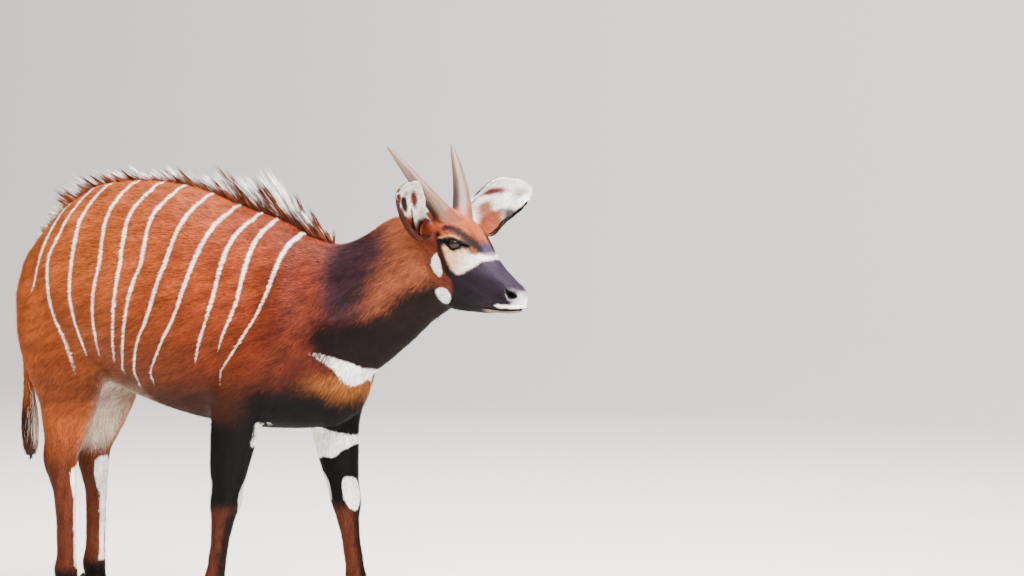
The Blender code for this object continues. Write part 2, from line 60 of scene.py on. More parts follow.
def smooth(low, high, at):
    # 0 below low, 1 above high, an S-curve between
    t = np.clip((np.asarray(at, float) - low) / (high - low), 0, 1)
    return t * t * (3 - 2 * t)


def curve(stations, values, at):
    # smooth curve through the values that never overshoots them
    x = np.asarray(stations, float)
    y = np.asarray(values, float)
    at = np.clip(np.asarray(at, float), x[0], x[-1])
    step = np.diff(x)
    slope = np.diff(y) / step
    before, after = slope[:-1], slope[1:]
    bend = np.where(before * after > 0, 2 * before * after / (before + after + 1e-12), 0)
    tangent = np.concatenate([slope[:1], bend, slope[-1:]])
    i = np.clip(np.searchsorted(x, at) - 1, 0, len(step) - 1)
    t = (at - x[i]) / step[i]
    return (
        y[i] * (1 + 2 * t) * (1 - t) ** 2
        + tangent[i] * step[i] * t * (1 - t) ** 2
        + y[i + 1] * t * t * (3 - 2 * t)
        + tangent[i + 1] * step[i] * t * t * (t - 1)
    )


def unit(vectors):
    length = np.linalg.norm(vectors, axis=-1, keepdims=True)
    return vectors / np.maximum(length, 1e-9)


def deselectAll():
    if bpy.context.object and bpy.context.object.mode != "OBJECT":
        bpy.ops.object.mode_set(mode="OBJECT")
    bpy.ops.object.select_all(action="DESELECT")


def pick(item):
    deselectAll()
    item.select_set(True)
    bpy.context.view_layer.objects.active = item


def applyModifier(item, name, kind, **settings):
    pick(item)
    added = item.modifiers.new(name, kind)
    for key, value in settings.items():
        setattr(added, key, value)
    bpy.ops.object.modifier_apply(modifier=added.name)


def setMode(mode):
    bpy.ops.object.mode_set(mode=mode)


def clearPicks(item, kind):
    # nothing picked on this mesh, and picking by this kind of element
    pick(item)
    setMode("EDIT")
    bpy.ops.mesh.select_mode(type=kind)
    bpy.ops.mesh.select_all(action="DESELECT")
    setMode("OBJECT")


def newObject(name, data):
    made = bpy.data.objects.new(name, data)
    bpy.context.scene.collection.objects.link(made)
    return made


def fromBmesh(name, mesh):
    data = bpy.data.meshes.new(name)
    mesh.to_mesh(data)
    mesh.free()
    return data


def nodeMesh(name):
    # a merged copy of a CAD node's mesh
    mesh = bmesh.new()
    mesh.from_mesh(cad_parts[name].data)
    bmesh.ops.remove_doubles(mesh, verts=mesh.verts, dist=1e-5)
    mesh.normal_update()
    return mesh


def blend(low, high, share):
    return low * (1 - share) + high * share


def joinPieces(first, *others):
    deselectAll()
    for item in (first, *others):
        item.select_set(True)
    bpy.context.view_layer.objects.active = first
    bpy.ops.object.join()
    return first


def readAll(items, field, width, kind=np.float32):
    flat = np.empty(len(items) * width, kind)
    items.foreach_get(field, flat)
    return flat.reshape(-1, width)


def pointsOf(item):
    return readAll(item.data.vertices, "co", 3).astype(float)


def setPoints(item, points):
    item.data.vertices.foreach_set("co", points.astype(np.float32).ravel())
    item.data.update()


def edgesOf(item):
    return readAll(item.data.edges, "vertices", 2, np.int32)


def trianglesOf(item):
    item.data.calc_loop_triangles()
    found = item.data.loop_triangles
    return readAll(found, "vertices", 3, np.int32), readAll(found, "loops", 3, np.int32)


def normalsOf(points, triangles):
    a, b, c = (points[triangles[:, i]] for i in range(3))
    face = np.cross(b - a, c - a)
    total = np.zeros_like(points)
    for i in range(3):
        for axis in range(3):
            total[:, axis] += np.bincount(triangles[:, i], face[:, axis], len(points))
    return unit(total)


def relax(points, edges, rounds, weight=1.0):
    # evens out facets without losing volume: a step inward, then one a little longer outward
    count = len(points)
    ends = np.concatenate([edges[:, 0], edges[:, 1]])
    others = np.concatenate([edges[:, 1], edges[:, 0]])
    share = 1 / np.maximum(np.bincount(ends, minlength=count), 1)
    weight = np.broadcast_to(weight, count)
    for _ in range(rounds):
        for amount in (0.5, -0.53):
            near = np.stack([np.bincount(ends, points[others, k], count) for k in range(3)], 1)
            points = points + (near * share[:, None] - points) * (amount * weight)[:, None]
    return points


def setLayer(mesh, name, values, kind="FLOAT"):
    # gives every point a number, a vector or a colour
    field = {"FLOAT": "value", "FLOAT_VECTOR": "vector", "FLOAT_COLOR": "color"}[kind]
    if field == "color":
        values = np.concatenate([values, np.ones((len(values), 1))], 1)
    layer = mesh.attributes.get(name) or mesh.attributes.new(name, kind, "POINT")
    layer.data.foreach_set(field, np.asarray(values, np.float32).ravel())


def dress(item, material):
    # smooth shading and one material
    item.data.polygons.foreach_set("use_smooth", np.ones(len(item.data.polygons), bool))
    item.data.materials.clear()
    item.data.materials.append(material)


body = dict(
    eyeMiddle=(0.88726, -0.04557, 1.04287),     # with the middle of the trunk at y = 0
    headTop=(0.850, -0.039, 1.125),
    headYaw=-10,
    headDip=27,
    neckSeam=(0.720, -0.018, 0.985),
    neckLean=29,
    barrel=0.86,                # height of the trunk's long axis
)

sideWord = {1: "Left", -1: "Right"}
eyeBoxes = {side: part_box("eye_" + word.lower()) for side, word in sideWord.items()}
eyeCentres = {side: np.array((low + high) / 2) for side, (low, high) in eyeBoxes.items()}
home = (eyeCentres[1] + eyeCentres[-1]) / 2 - np.array(body["eyeMiddle"])
headTop = home + np.array(body["headTop"])
yaw = Matrix.Rotation(math.radians(body["headYaw"]), 3, "Z")
headTurn = np.array(yaw @ Matrix.Rotation(math.radians(body["headDip"]), 3, "Y"))
yawTurn = np.array(yaw)
seamPlace = home + np.array(body["neckSeam"])
lean = math.radians(body["neckLean"])
seamNormal = np.array([math.cos(lean), 0, math.sin(lean)])


def toHead(points):
    # world points in the head's directions: along, out to the left, up
    return (points - headTop) @ headTurn


def turnToHead(vectors):
    return vectors @ headTurn


ear = dict(
    length=0.256,
    root=(-0.059, 0.077, -0.045),
    axis=(0.368, 0.864, 0.344),
    opening=(0.812, -0.467, -0.031),
    wall=0.0040,
    hollow=0.014,               # depth of the cup halfway along
    shellGrid=(90, 70),
    guideGrid=(60, 46),         # enough to tell where a point of the skin lies on the ear
    places=(-0.15, 0, 0.14, 0.35, 0.58, 0.78, 0.92, 1),
    uppers=(0.020, 0.024, 0.028, 0.058, 0.072, 0.056, 0.036, 0.010),
    lowers=(0.022, 0.028, 0.032, 0.060, 0.048, 0.039, 0.026, 0.010),
    sweeps=(145, 135, 116, 88, 74, 64, 54, 44),
)


def earFrame(side):
    root, axis, opening = (
        yawTurn @ (np.array(ear[key]) * (1, side, 1)) for key in ("root", "axis", "opening")
    )
    axis = unit(axis)
    opening = unit(opening - axis * (opening @ axis))
    return headTop + root, axis, opening, np.cross(axis, opening) * side


def earPoint(side, u, v):
    # a place on the ear's leaf: u from root to tip, v from the upper edge to the lower one
    root, axis, opening, across = earFrame(side)
    u, v = np.broadcast_arrays(u, v)
    sweep, upper, lower = (curve(ear["places"], ear[key], u) for key in ("sweeps", "uppers", "lowers"))
    sweep = np.radians(sweep)
    radius = np.where(v < 0, upper, lower) / np.sin(np.minimum(sweep, math.pi / 2))
    angle = sweep * v
    drop = radius * 0.8 * (1 - np.cos(angle)) - ear["hollow"] * np.sin(math.pi * np.maximum(u, 0))
    reach = ear["length"] * (u - 0.05 * v * v * u)
    return (root + axis * reach[..., None] + across * (radius * np.sin(angle))[..., None]
            + opening * drop[..., None])


def earLeaf(side, rows, columns):
    u, v = np.meshgrid(np.linspace(-0.13, 0.995, rows), np.linspace(-0.99, 0.99, columns), indexing="ij")
    return u.ravel(), v.ravel(), earPoint(side, u, v).reshape(-1, 3)


def earShell(side):
    rows, columns = ear["shellGrid"]
    corner = np.arange(rows * columns).reshape(rows, columns)[:-1, :-1].ravel()
    faces = np.stack([corner, corner + 1, corner + columns + 1, corner + columns], 1)
    data = bpy.data.meshes.new("earShell")
    data.from_pydata(earLeaf(side, rows, columns)[2].tolist(), [], faces.tolist())
    made = newObject("earShell", data)
    applyModifier(made, "wall", "SOLIDIFY", thickness=ear["wall"], offset=0)
    return made


skinForm = dict(
    bodyVoxel=0.0098,
    headVoxel=0.0030,
    swell=0.0006,                   # closes the gaps between neighbouring solids
    bodyRounds=20,
    headRounds=15,
    seamReaches=(0.030, 0.014),     # finer faces this near the seam, so that both shells match
    seamRounds=24,
)
fleshNodes = ["trunk", "neck", "head", "tail"]
for word in ("forearm", "fore_cannon", "thigh", "hind_cannon"):
    fleshNodes += [word + "_left", word + "_right"]


def swollenFlesh(names):
    whole = bmesh.new()
    for name in names:
        mesh = nodeMesh(name)
        for vertex in mesh.verts:
            vertex.co += vertex.normal * skinForm["swell"]
        data = fromBmesh(name, mesh)
        whole.from_mesh(data)
        bpy.data.meshes.remove(data)
    return newObject("flesh", fromBmesh("flesh", whole))


def fleshShell(names, voxel, rounds, keepFront, *extras):
    # one even closed shell round these solids, cut off at the seam across the neck
    item = swollenFlesh(names)
    if extras:
        joinPieces(item, *extras)
    applyModifier(item, "join", "REMESH", mode="VOXEL", voxel_size=voxel)
    setPoints(item, relax(pointsOf(item), edgesOf(item), rounds))
    pick(item)
    setMode("EDIT")
    bpy.ops.mesh.select_all(action="SELECT")
    bpy.ops.mesh.bisect(plane_co=tuple(seamPlace), plane_no=tuple(seamNormal), use_fill=False,
                        clear_inner=keepFront, clear_outer=not keepFront)
    setMode("OBJECT")
    keepLargest(item)
    return item


def keepLargest(item):
    mesh = bmesh.new()
    mesh.from_mesh(item.data)
    left = set(mesh.verts)
    islands = []
    while left:
        island, edge = [], [left.pop()]
        while edge:
            vertex = edge.pop()
            island.append(vertex)
            for link in vertex.link_edges:
                other = link.other_vert(vertex)
                if other in left:
                    left.remove(other)
                    edge.append(other)
        islands.append(island)
    islands.sort(key=len, reverse=True)
    bmesh.ops.delete(mesh, geom=[v for island in islands[1:] for v in island], context="VERTS")
    mesh.to_mesh(item.data)
    mesh.free()


def subdivideWhere(item, chosen):
    # finer faces where every corner is chosen
    clearPicks(item, "FACE")
    corners = readAll(item.data.loops, "vertex_index", 1, np.int32)[:, 0]
    starts = readAll(item.data.polygons, "loop_start", 1, np.int32)[:, 0]
    wholly = np.minimum.reduceat(chosen[corners].astype(np.int8), starts) > 0
    item.data.polygons.foreach_set("select", wholly)
    setMode("EDIT")
    bpy.ops.mesh.subdivide(number_cuts=1)
    setMode("OBJECT")


def makeSkin():
    # a coarse shell for the body and a fine one for the head, bridged at the seam
    rear = fleshShell(fleshNodes, skinForm["bodyVoxel"], skinForm["bodyRounds"], False)
    front = fleshShell(["neck", "head", "eye_left", "eye_right"], skinForm["headVoxel"],
                       skinForm["headRounds"], True, earShell(1), earShell(-1))
    for reach in skinForm["seamReaches"]:
        gap = np.abs((pointsOf(rear) - seamPlace) @ seamNormal)
        subdivideWhere(rear, gap < reach)
    made = joinPieces(rear, front)
    made.name = "skin"
    clearPicks(made, "EDGE")
    setMode("EDIT")
    bpy.ops.mesh.select_non_manifold(extend=False, use_wire=False, use_boundary=True,
                                     use_multi_face=False, use_non_contiguous=False, use_verts=False)
    bpy.ops.mesh.bridge_edge_loops()
    bpy.ops.mesh.select_all(action="SELECT")
    bpy.ops.mesh.normals_make_consistent(inside=False)
    setMode("OBJECT")
    print("skin joined:", len(made.data.vertices), "points")
    return made


skin = makeSkin()


# finer faces where lids, nostrils and lips are shaped
fineSpots = dict(
    eyeReach=0.033,
    nostril=(0.260, 0.031, -0.097),
    nostrilReach=0.026,
    lipLine=((0.190, -0.171), (0.215, -0.162), (0.241, -0.152), (0.258, -0.144), (0.274, -0.136),
             (0.290, -0.126)),
    lipReach=0.007,
    lipWidth=0.05,              # the mouth's half width
)


def lineGap(points, line):
    # distance from 2-D points to a polyline
    line = np.asarray(line, float)
    best = np.full(len(points), 9.0)
    for a, b in zip(line, line[1:]):
        along = b - a
        t = np.clip(((points - a) @ along) / (along @ along), 0, 1)
        best = np.minimum(best, np.linalg.norm(points - a - t[:, None] * along, axis=1))
    return best


def patchDepth(points, corners):
    # how far inside a polygon each point is; less than 0 outside
    corners = np.asarray(corners, float)
    x, y = points[:, 0], points[:, 1]
    inside = np.zeros(len(points), bool)
    for (ax, ay), (bx, by) in zip(corners, np.roll(corners, -1, 0)):
        crosses = (ay > y) != (by > y)
        inside ^= crosses & (x < (bx - ax) * (y - ay) / (by - ay + 1e-12) + ax)
    edge = lineGap(points, np.concatenate([corners, corners[:1]]))
    return np.where(inside, edge, -edge)


def ovalDepth(points, centre, halves, turn=0):
    # the same for an oval turned by some degrees
    angle = math.radians(turn)
    d = points - np.asarray(centre, float)
    a = (d[:, 0] * math.cos(angle) + d[:, 1] * math.sin(angle)) / halves[0]
    b = (d[:, 1] * math.cos(angle) - d[:, 0] * math.sin(angle)) / halves[1]
    return (1 - np.hypot(a, b)) * min(halves)


def refineSkin():
    points = pointsOf(skin)
    local = toHead(points)
    mirrored = local * (1, 0, 1) + np.abs(local) * (0, 1, 0)
    near = np.linalg.norm(mirrored - fineSpots["nostril"], axis=1) < fineSpots["nostrilReach"]
    for centre in eyeCentres.values():
        near |= np.linalg.norm(points - centre, axis=1) < fineSpots["eyeReach"]
    gap = lineGap(local[:, [0, 2]], fineSpots["lipLine"])
    near |= (gap < fineSpots["lipReach"]) & (np.abs(local[:, 1]) < fineSpots["lipWidth"])
    subdivideWhere(skin, near)


refineSkin()


# which part of the animal each skin point belongs to
def earPlaces(points):
    # (share of ear, u, v, 1 inside the cup and 0 outside) for every point
    count = len(points)
    share, us, vs, cup = (np.zeros(count) for _ in range(4))
    for side in (1, -1):
        u, v, leaf = earLeaf(side, *ear["guideGrid"])
        mesh = leaf.reshape(*ear["guideGrid"], 3)
        along = np.gradient(mesh, axis=0)
        over = np.gradient(mesh, axis=1)
        inward = unit(np.cross(along, over)).reshape(-1, 3)
        opening = earFrame(side)[2]
        inward *= np.sign((inward @ opening).mean())
        tree = KDTree(len(leaf))
        for k, place in enumerate(leaf):
            tree.insert(place, k)
        tree.balance()
        low, high = leaf.min(0) - 0.02, leaf.max(0) + 0.02
        for k in np.nonzero(((points > low) & (points < high)).all(1))[0]:
            _, found, gap = tree.find(points[k])
            near = 1 - smooth(0.006, 0.013, gap)
            if near > 0:
                share[k] = near * smooth(-0.07, 0.05, u[found])
                us[k], vs[k] = u[found], v[found]
                cup[k] = float((points[k] - leaf[found]) @ inward[found] > 0)
    return share, us, vs, cup


def legAxes(points):
    # middles of the four legs at each height
    model = points - home
    heights = np.arange(0.05, 0.70, 0.02)
    axes = {}
    for fore in (0, 1):
        for side in (1, -1):
            mine = (model[:, 0] > 0) == bool(fore)
            mine &= (model[:, 1] * side > 0.028) & (model[:, 0] > -0.40)
            middles = []
            for z in heights:
                level = model[mine & (np.abs(model[:, 2] - z) < 0.014)]
                ends = (level.min(0) + level.max(0)) / 2
                middles.append((ends[0], ends[1]) if z < 0.56 else middles[-1])
            axes[fore, side] = np.array(middles)
    return heights, axes


def legPlace(points):
    # (height, angle round the leg: 0 in front, 90 outside, -90 inside, radius, 1 for a foreleg)
    model = points - home
    heights, axes = legTable
    fore = (model[:, 0] > 0).astype(int)
    side = np.where(model[:, 1] > 0, 1, -1)
    x = np.zeros(len(points))
    y = np.zeros(len(points))
    for (pair, hand), middles in axes.items():
        mine = (fore == pair) & (side == hand)
        x[mine] = np.interp(model[mine, 2], heights, middles[:, 0])
        y[mine] = np.interp(model[mine, 2], heights, middles[:, 1])
    front = model[:, 0] - x
    outer = (model[:, 1] - y) * side
    return model[:, 2], np.degrees(np.arctan2(outer, front)), np.hypot(front, outer), fore


legTable = legAxes(pointsOf(skin))


def shares(points):
    # soft shares of head, leg and tail at any point
    model = points - home
    head = smooth(0.035, 0.115, (points - seamPlace) @ seamNormal)
    leg = smooth(0.63, 0.50, model[:, 2])
    tail = smooth(-0.395, -0.408, model[:, 0]) * smooth(0.045, 0.035, np.abs(model[:, 1]))
    tail *= smooth(0.99, 0.96, model[:, 2])
    leg = leg * (1 - tail)
    return head, leg, tail


def lieOf(points, normals, earShare, side):
    # the way the hair lies, along the surface
    model = points - home
    head, leg, tail = shares(points)
    low = smooth(1.06, 0.72, model[:, 2])
    rump = smooth(-0.14, -0.36, model[:, 0])
    front = smooth(0.40, 0.56, model[:, 0])
    flow = unit(np.stack([-1 + 0.35 * rump + 0.30 * front, np.zeros(len(points)),
                          -0.12 - 0.45 * low - 0.9 * rump - 0.45 * front], 1))
    flow = blend(flow, np.array([-0.12, 0, -1]), leg[:, None])
    flow = blend(flow, np.array([-0.05, 0, -1]), tail[:, None])
    cheek = smooth(-0.06, -0.18, toHead(points)[:, 2])
    over = np.stack([-np.ones(len(points)), np.zeros(len(points)), -0.15 - 0.45 * cheek], 1) @ headTurn.T
    flow = blend(flow, over, head[:, None])
    for hand in (1, -1):
        flow = blend(flow, earFrame(hand)[1], (earShare * (side == hand))[:, None])
    return unit(flow - normals * (flow * normals).sum(1, keepdims=True))


# how far the skin lies under the tips of the coat
coatDepth = dict(trunk=0.0065, leg=0.0034, face=0.0024, muzzle=0.0006, tail=0.0060, ear=0.0004)

# low forms under the coat: place with the middle of the body at y = 0, reach each way, height
bodyForms = (
    ((0.40, 0.118, 0.985), (0.045, 0.05, 0.13), 0.0050),      # shoulder blade's ridge
    ((0.345, 0.135, 0.90), (0.030, 0.05, 0.12), -0.0045),     # hollow behind it
    ((0.505, 0.105, 0.770), (0.045, 0.05, 0.055), 0.0075),    # point of the shoulder
    ((0.305, 0.165, 0.745), (0.060, 0.06, 0.065), 0.0060),    # long head of the upper arm
    ((0.238, 0.150, 0.655), (0.032, 0.05, 0.030), 0.0060),    # elbow
    ((0.235, 0.170, 0.735), (0.026, 0.05, 0.085), -0.0050),   # groove behind the upper arm
    ((0.520, 0.085, 0.905), (0.030, 0.05, 0.10), -0.0045),    # hollow before the shoulder
    ((0.610, 0.060, 0.845), (0.080, 0.03, 0.018), -0.0040),   # groove of the neck
    ((0.600, 0.080, 0.950), (0.070, 0.04, 0.045), 0.0035),
    ((-0.185, 0.135, 1.075), (0.035, 0.04, 0.030), 0.0070),   # hip bone
    ((-0.130, 0.185, 0.985), (0.055, 0.05, 0.085), -0.0065),  # hollow of the flank
    ((-0.300, 0.120, 1.000), (0.045, 0.05, 0.060), 0.0040),
    ((-0.372, 0.075, 0.985), (0.025, 0.03, 0.030), 0.0060),   # pin bone
    ((-0.350, 0.120, 0.820), (0.022, 0.05, 0.110), -0.0045),  # groove down the back of the thigh
    ((-0.165, 0.165, 0.715), (0.040, 0.05, 0.040), 0.0060),   # stifle
    ((0.080, 0.200, 0.830), (0.150, 0.05, 0.100), 0.0035),    # barrel
    ((0.030, 0.205, 0.900), (0.012, 0.05, 0.130), -0.0012),   # faint ribs
    ((0.085, 0.205, 0.885), (0.012, 0.05, 0.130), -0.0012),
    ((0.140, 0.200, 0.870), (0.012, 0.05, 0.130), -0.0012),
)

# the same on the head, in its own directions
headForms = (
    ((0.030, 0.060, -0.045), (0.022, 0.020, 0.010), 0.0022),   # brow ridge
    ((0.100, 0.055, -0.088), (0.034, 0.020, 0.009), 0.0030),   # cheekbone
    ((0.135, 0.050, -0.120), (0.030, 0.020, 0.016), -0.0028),  # hollow under it
    ((0.045, 0.066, -0.150), (0.036, 0.030, 0.042), 0.0035),   # jaw muscle
    ((0.020, 0.062, -0.092), (0.018, 0.020, 0.018), -0.0025),  # temple
    ((0.185, 0.000, -0.052), (0.040, 0.012, 0.020), 0.0016),   # bridge of the nose
    ((0.165, 0.040, -0.075), (0.030, 0.015, 0.012), -0.0016),
    ((0.235, 0.038, -0.128), (0.020, 0.015, 0.012), 0.0022),   # upper lip
    ((0.222, 0.036, -0.112), (0.012, 0.015, 0.020), -0.0012),
    ((0.262, 0.015, -0.146), (0.014, 0.020, 0.010), 0.0018),   # chin
    ((0.110, 0.040, -0.205), (0.050, 0.030, 0.014), 0.0020),   # edge of the jaw
    ((0.060, 0.000, -0.010), (0.030, 0.020, 0.020), -0.0012),  # between the brows
)


def raiseForms(points, normals, places, forms):
    mirrored = places * (1, 0, 1) + np.abs(places) * (0, 1, 0)
    height = np.zeros(len(points))
    for centre, reach, amount in forms:
        away = (mirrored - centre) / reach
        height += amount * np.exp(-(away ** 2).sum(1))
    return points + normals * height[:, None]


eyeForm = dict(
    gaze=(0.16, 0.98, -0.09),           # along, out and up from the globe's middle
    slant=(1.0, -0.25, 0.29),           # the line of the opening
    halfWidth=76,                       # opening, in degrees on the globe
    halfRise=37,
    halfDrop=39,
    lidEdge=0.0013,
    lidBody=0.0024,
    foldAt=0.0050,
    socket=(0.0345, 0.0150),            # bare dark skin round the lids
)
globeRadius = (eyeBoxes[1][1].x - eyeBoxes[1][0].x) / 2


def eyeAxes(side):
    gaze = unit(np.array(eyeForm["gaze"]) * (1, side, 1))
    slant = np.array(eyeForm["slant"]) * (1, side, 1)
    slant = unit(slant - gaze * (slant @ gaze))
    rise = np.cross(gaze, slant)
    rise *= np.sign(rise[2])
    return gaze, slant, rise


def eyeEdge(points, side):
    # distance along the globe from the rim of the lids, less than 0 in the opening; and degrees up
    gaze, slant, rise = eyeAxes(side)
    away = turnToHead(points - eyeCentres[side])
    out = away @ gaze
    across = np.degrees(np.arctan2(away @ slant, out))
    up = np.degrees(np.arctan2(away @ rise, out))
    wide = np.clip(np.abs(across) / eyeForm["halfWidth"], 0, 1)
    # the inner corner is drawn out to a point, the outer one rounder
    taper = np.where(across > 0, 1 - wide ** 2.1, 1 - wide ** 2.8)
    limit = np.where(up > 0, eyeForm["halfRise"], eyeForm["halfDrop"]) * taper
    over = np.abs(up) - limit
    beyond = np.maximum(np.abs(across) - eyeForm["halfWidth"], 0)
    degrees = np.where(beyond > 0, np.hypot(beyond, np.maximum(over, 0)), over)
    return np.radians(degrees) * globeRadius, up, across, out


def shapeLids(points):
    for side in (1, -1):
        edge, up, _, out = eyeEdge(points, side)
        away = points - eyeCentres[side]
        distance = np.linalg.norm(away, axis=1)
        near = (distance < 0.045) & (out > 0.002)
        lid = globeRadius + blend(eyeForm["lidEdge"], eyeForm["lidBody"], smooth(0, 0.003, edge))
        above = smooth(-4, 10, up)
        fold = np.exp(-((edge - eyeForm["foldAt"]) / 0.0011) ** 2) * -0.0012
        fold += np.exp(-((edge - eyeForm["foldAt"] - 0.0030) / 0.0022) ** 2) * 0.0014
        lid = lid + fold * above
        blendOut = smooth(0.0035, 0.0125, edge)
        outer = np.maximum(distance, globeRadius + 0.0019)
        wanted = lid * (1 - blendOut) + outer * blendOut
        wanted = np.where(edge < -0.0002, globeRadius * 0.84, wanted)
        moved = eyeCentres[side] + away / distance[:, None] * wanted[:, None]
        points = np.where(near[:, None], moved, points)
    return points


nose = dict(
    centre=(0.261, 0.031, -0.0985),
    axis=(0.032, -0.013, 0.004),
    halfLength=0.0175,
    halfHeight=0.0078,
    depth=0.013,
    rim=0.0018,
    lipGroove=0.0030,
    lipWidth=0.0016,
)


def nostrilPlace(local):
    # 0 in the middle of a nostril and 1 at its rim
    mirrored = local * (1, 0, 1) + np.abs(local) * (0, 1, 0)
    away = mirrored - nose["centre"]
    axis = unit(np.array(nose["axis"]))
    along = away @ axis
    rise = away[:, 2] - along * axis[2]
    # a comma: the rear end curls up
    rise = rise - 3.2 * np.minimum(along, 0) ** 2 * 8
    thin = 1 - 0.35 * smooth(0.0, -0.012, along)
    ring = np.hypot(along / nose["halfLength"], rise / (nose["halfHeight"] * thin))
    return ring, np.linalg.norm(away, axis=1)


def shapeMuzzle(points, normals):
    # nostrils, the line of the lips, the cleft of the upper lip and creases over the nostrils
    local = toHead(points)
    along, out, up = local[:, 0], np.abs(local[:, 1]), local[:, 2]
    ring, distance = nostrilPlace(local)
    near = distance < fineSpots["nostrilReach"] + 0.001
    sink = nose["rim"] * np.exp(-((ring - 1.35) / 0.25) ** 2) * near
    sink -= nose["depth"] * smooth(1.0, 0.25, ring) * near
    gap = lineGap(local[:, [0, 2]], fineSpots["lipLine"])
    front = smooth(0.200, 0.212, along) * (out < fineSpots["lipWidth"])
    sink -= nose["lipGroove"] * np.exp(-(gap / nose["lipWidth"]) ** 2) * front
    sink += 0.0010 * np.exp(-((gap - 0.0045) / 0.0025) ** 2) * front
    cleft = np.exp(-(local[:, 1] / 0.0012) ** 2) * smooth(0.272, 0.280, along)
    sink -= 0.0012 * cleft * smooth(-0.128, -0.118, up) * smooth(-0.088, -0.094, up)
    beyond = along - 0.262
    for k, rise in enumerate((0.0125, 0.0175, 0.0225)):
        crease = up - (nose["centre"][2] + rise) + 0.45 * beyond + 3.0 * beyond ** 2
        fade = np.exp(-((along - 0.256) / 0.016) ** 2) * (out > 0.012) * (up > -0.095)
        sink -= (0.0009 - 0.0002 * k) * np.exp(-(crease / 0.0011) ** 2) * fade
    return points + normals * sink[:, None]


def shapeSkin():
    points, edges = pointsOf(skin), edgesOf(skin)
    triangles, loops = trianglesOf(skin)
    normals = normalsOf(points, triangles)
    ears = earPlaces(points)
    head, leg, tail = shares(points)
    bare = smooth(0.235, 0.262, toHead(points)[:, 0])
    depth = np.full(len(points), coatDepth["trunk"])
    regions = (("leg", leg), ("tail", tail), ("face", head), ("muzzle", bare * head), ("ear", ears[0]))
    for region, share in regions:
        depth += (coatDepth[region] - depth) * share
    moved = raiseForms(points, normals * (1 - head)[:, None], points - home, bodyForms)
    moved = raiseForms(moved, normals * (head * (1 - ears[0]))[:, None], toHead(points), headForms)
    moved -= normals * depth[:, None]
    nearSeam = np.exp(-(((points - seamPlace) @ seamNormal) / 0.022) ** 2)
    moved = relax(moved, edges, skinForm["seamRounds"], nearSeam)
    moved = shapeMuzzle(moved, normalsOf(moved, triangles))
    moved = shapeLids(moved)
    setPoints(skin, moved)
    return moved, triangles, loops, normalsOf(moved, triangles), ears


skinPoints, skinTriangles, skinLoops, skinNormals, earPlace = shapeSkin()
print("skin shaped:", len(skinTriangles), "triangles")

# the coat's colours
coatColours = dict(
    rust="#86381A",
    orange="#9C4D21",
    brick="#5C2418",
    belly="#210E09",
    saddle="#271B23",
    black="#060405",
    slate="#1D161E",
    slateSheen="#3C3145",
    # dark slate hair of the nose bridge with a painted lilac sheen
    slateBrow="#3E364E",
    browDark="#170E11",
    forehead="#974A2A",
    cheek="#5E2916",
    earRust="#743820",
    ochre="#6B3B18",
    cream="#DFAE84",
    white="#FDF9F3",
    cannon="#4C2212",
    breast="#A4602E",
    neck="#8C4C30",
    rim="#050404",
    chin="#7C6753",
    # painted reflection on the wet black nose
    pad="#A0969F",
    earRed="#64241F",
    earPink="#8E5446",
    earBack="#63301A",
    thigh="#DCCBB6",
    # painted highlight along the fold of the upper lid
    fold="#BE8A5C",
)
colour = {name: hexLinear(code) for name, code in coatColours.items()}

# stripes, rump to shoulder: where each crosses the body at these angles from the top of the barrel
stripes = dict(
    angles=(15, 35, 55, 75, 95, 115, 135),
    places=(
        (-0.262, -0.275, -0.293, -0.307, -0.319, -0.332, -0.344),
        (-0.193, -0.226, -0.258, -0.251, -0.236, -0.205, -0.171),
        (-0.150, -0.170, -0.177, -0.179, -0.169, -0.155, -0.141),
        (-0.071, -0.088, -0.086, -0.099, -0.104, -0.103, -0.103),
        (0.002, -0.024, -0.023, -0.031, -0.038, -0.047, -0.060),
        (0.069, 0.040, 0.038, 0.011, -0.005, -0.020, -0.040),
        (0.148, 0.122, 0.105, 0.082, 0.060, 0.022, -0.004),
        (0.228, 0.199, 0.176, 0.155, 0.132, 0.091, 0.044),
        (0.293, 0.262, 0.248, 0.238, 0.221, 0.198, 0.177),
        (0.338, 0.319, 0.309, 0.301, 0.282, 0.254, 0.235),
        (0.413, 0.401, 0.388, 0.371, 0.348, 0.307, 0.246),
    ),
    ends=(76, 136, 128, 126, 130, 138, 148, 141, 128, 121, 138),
    half=0.0043,
    way=(0, 0.06, 0.2, 0.5, 0.85, 0.98, 1.04),       # share of the way from top to end
    width=(0.7, 0.8, 1.0, 0.95, 0.6, 0.25, -0.8),
)
saddlePatch = ((0.498, 1.05), (0.587, 1.07), (0.672, 1.08), (0.690, 1.009), (0.664, 0.966), (0.641, 0.920),
               (0.622, 0.882), (0.610, 0.835), (0.530, 0.828), (0.508, 0.860), (0.505, 0.910), (0.496, 0.987))
throatPatch = ((0.489, 0.825), (0.571, 0.838), (0.622, 0.846), (0.675, 0.868), (0.724, 0.914), (0.773, 0.934),
               (0.805, 0.944), (0.850, 0.938), (0.920, 0.900), (0.920, 0.840), (0.760, 0.760), (0.680, 0.700),
               (0.600, 0.700), (0.500, 0.748), (0.480, 0.790))
elbowPatch = ((0.336, 0.578), (0.329, 0.572), (0.323, 0.552), (0.317, 0.530), (0.314, 0.514), (0.317, 0.500),
              (0.325, 0.520), (0.335, 0.545), (0.341, 0.565))
crescent = dict(
    across=(0, 0.03, 0.05, 0.07, 0.085, 0.10, 0.12, 0.16),
    upper=(0.712, 0.716, 0.721, 0.733, 0.741, 0.749, 0.759, 0.755),
    lower=(0.687, 0.679, 0.672, 0.689, 0.707, 0.726, 0.755, 0.800),
)

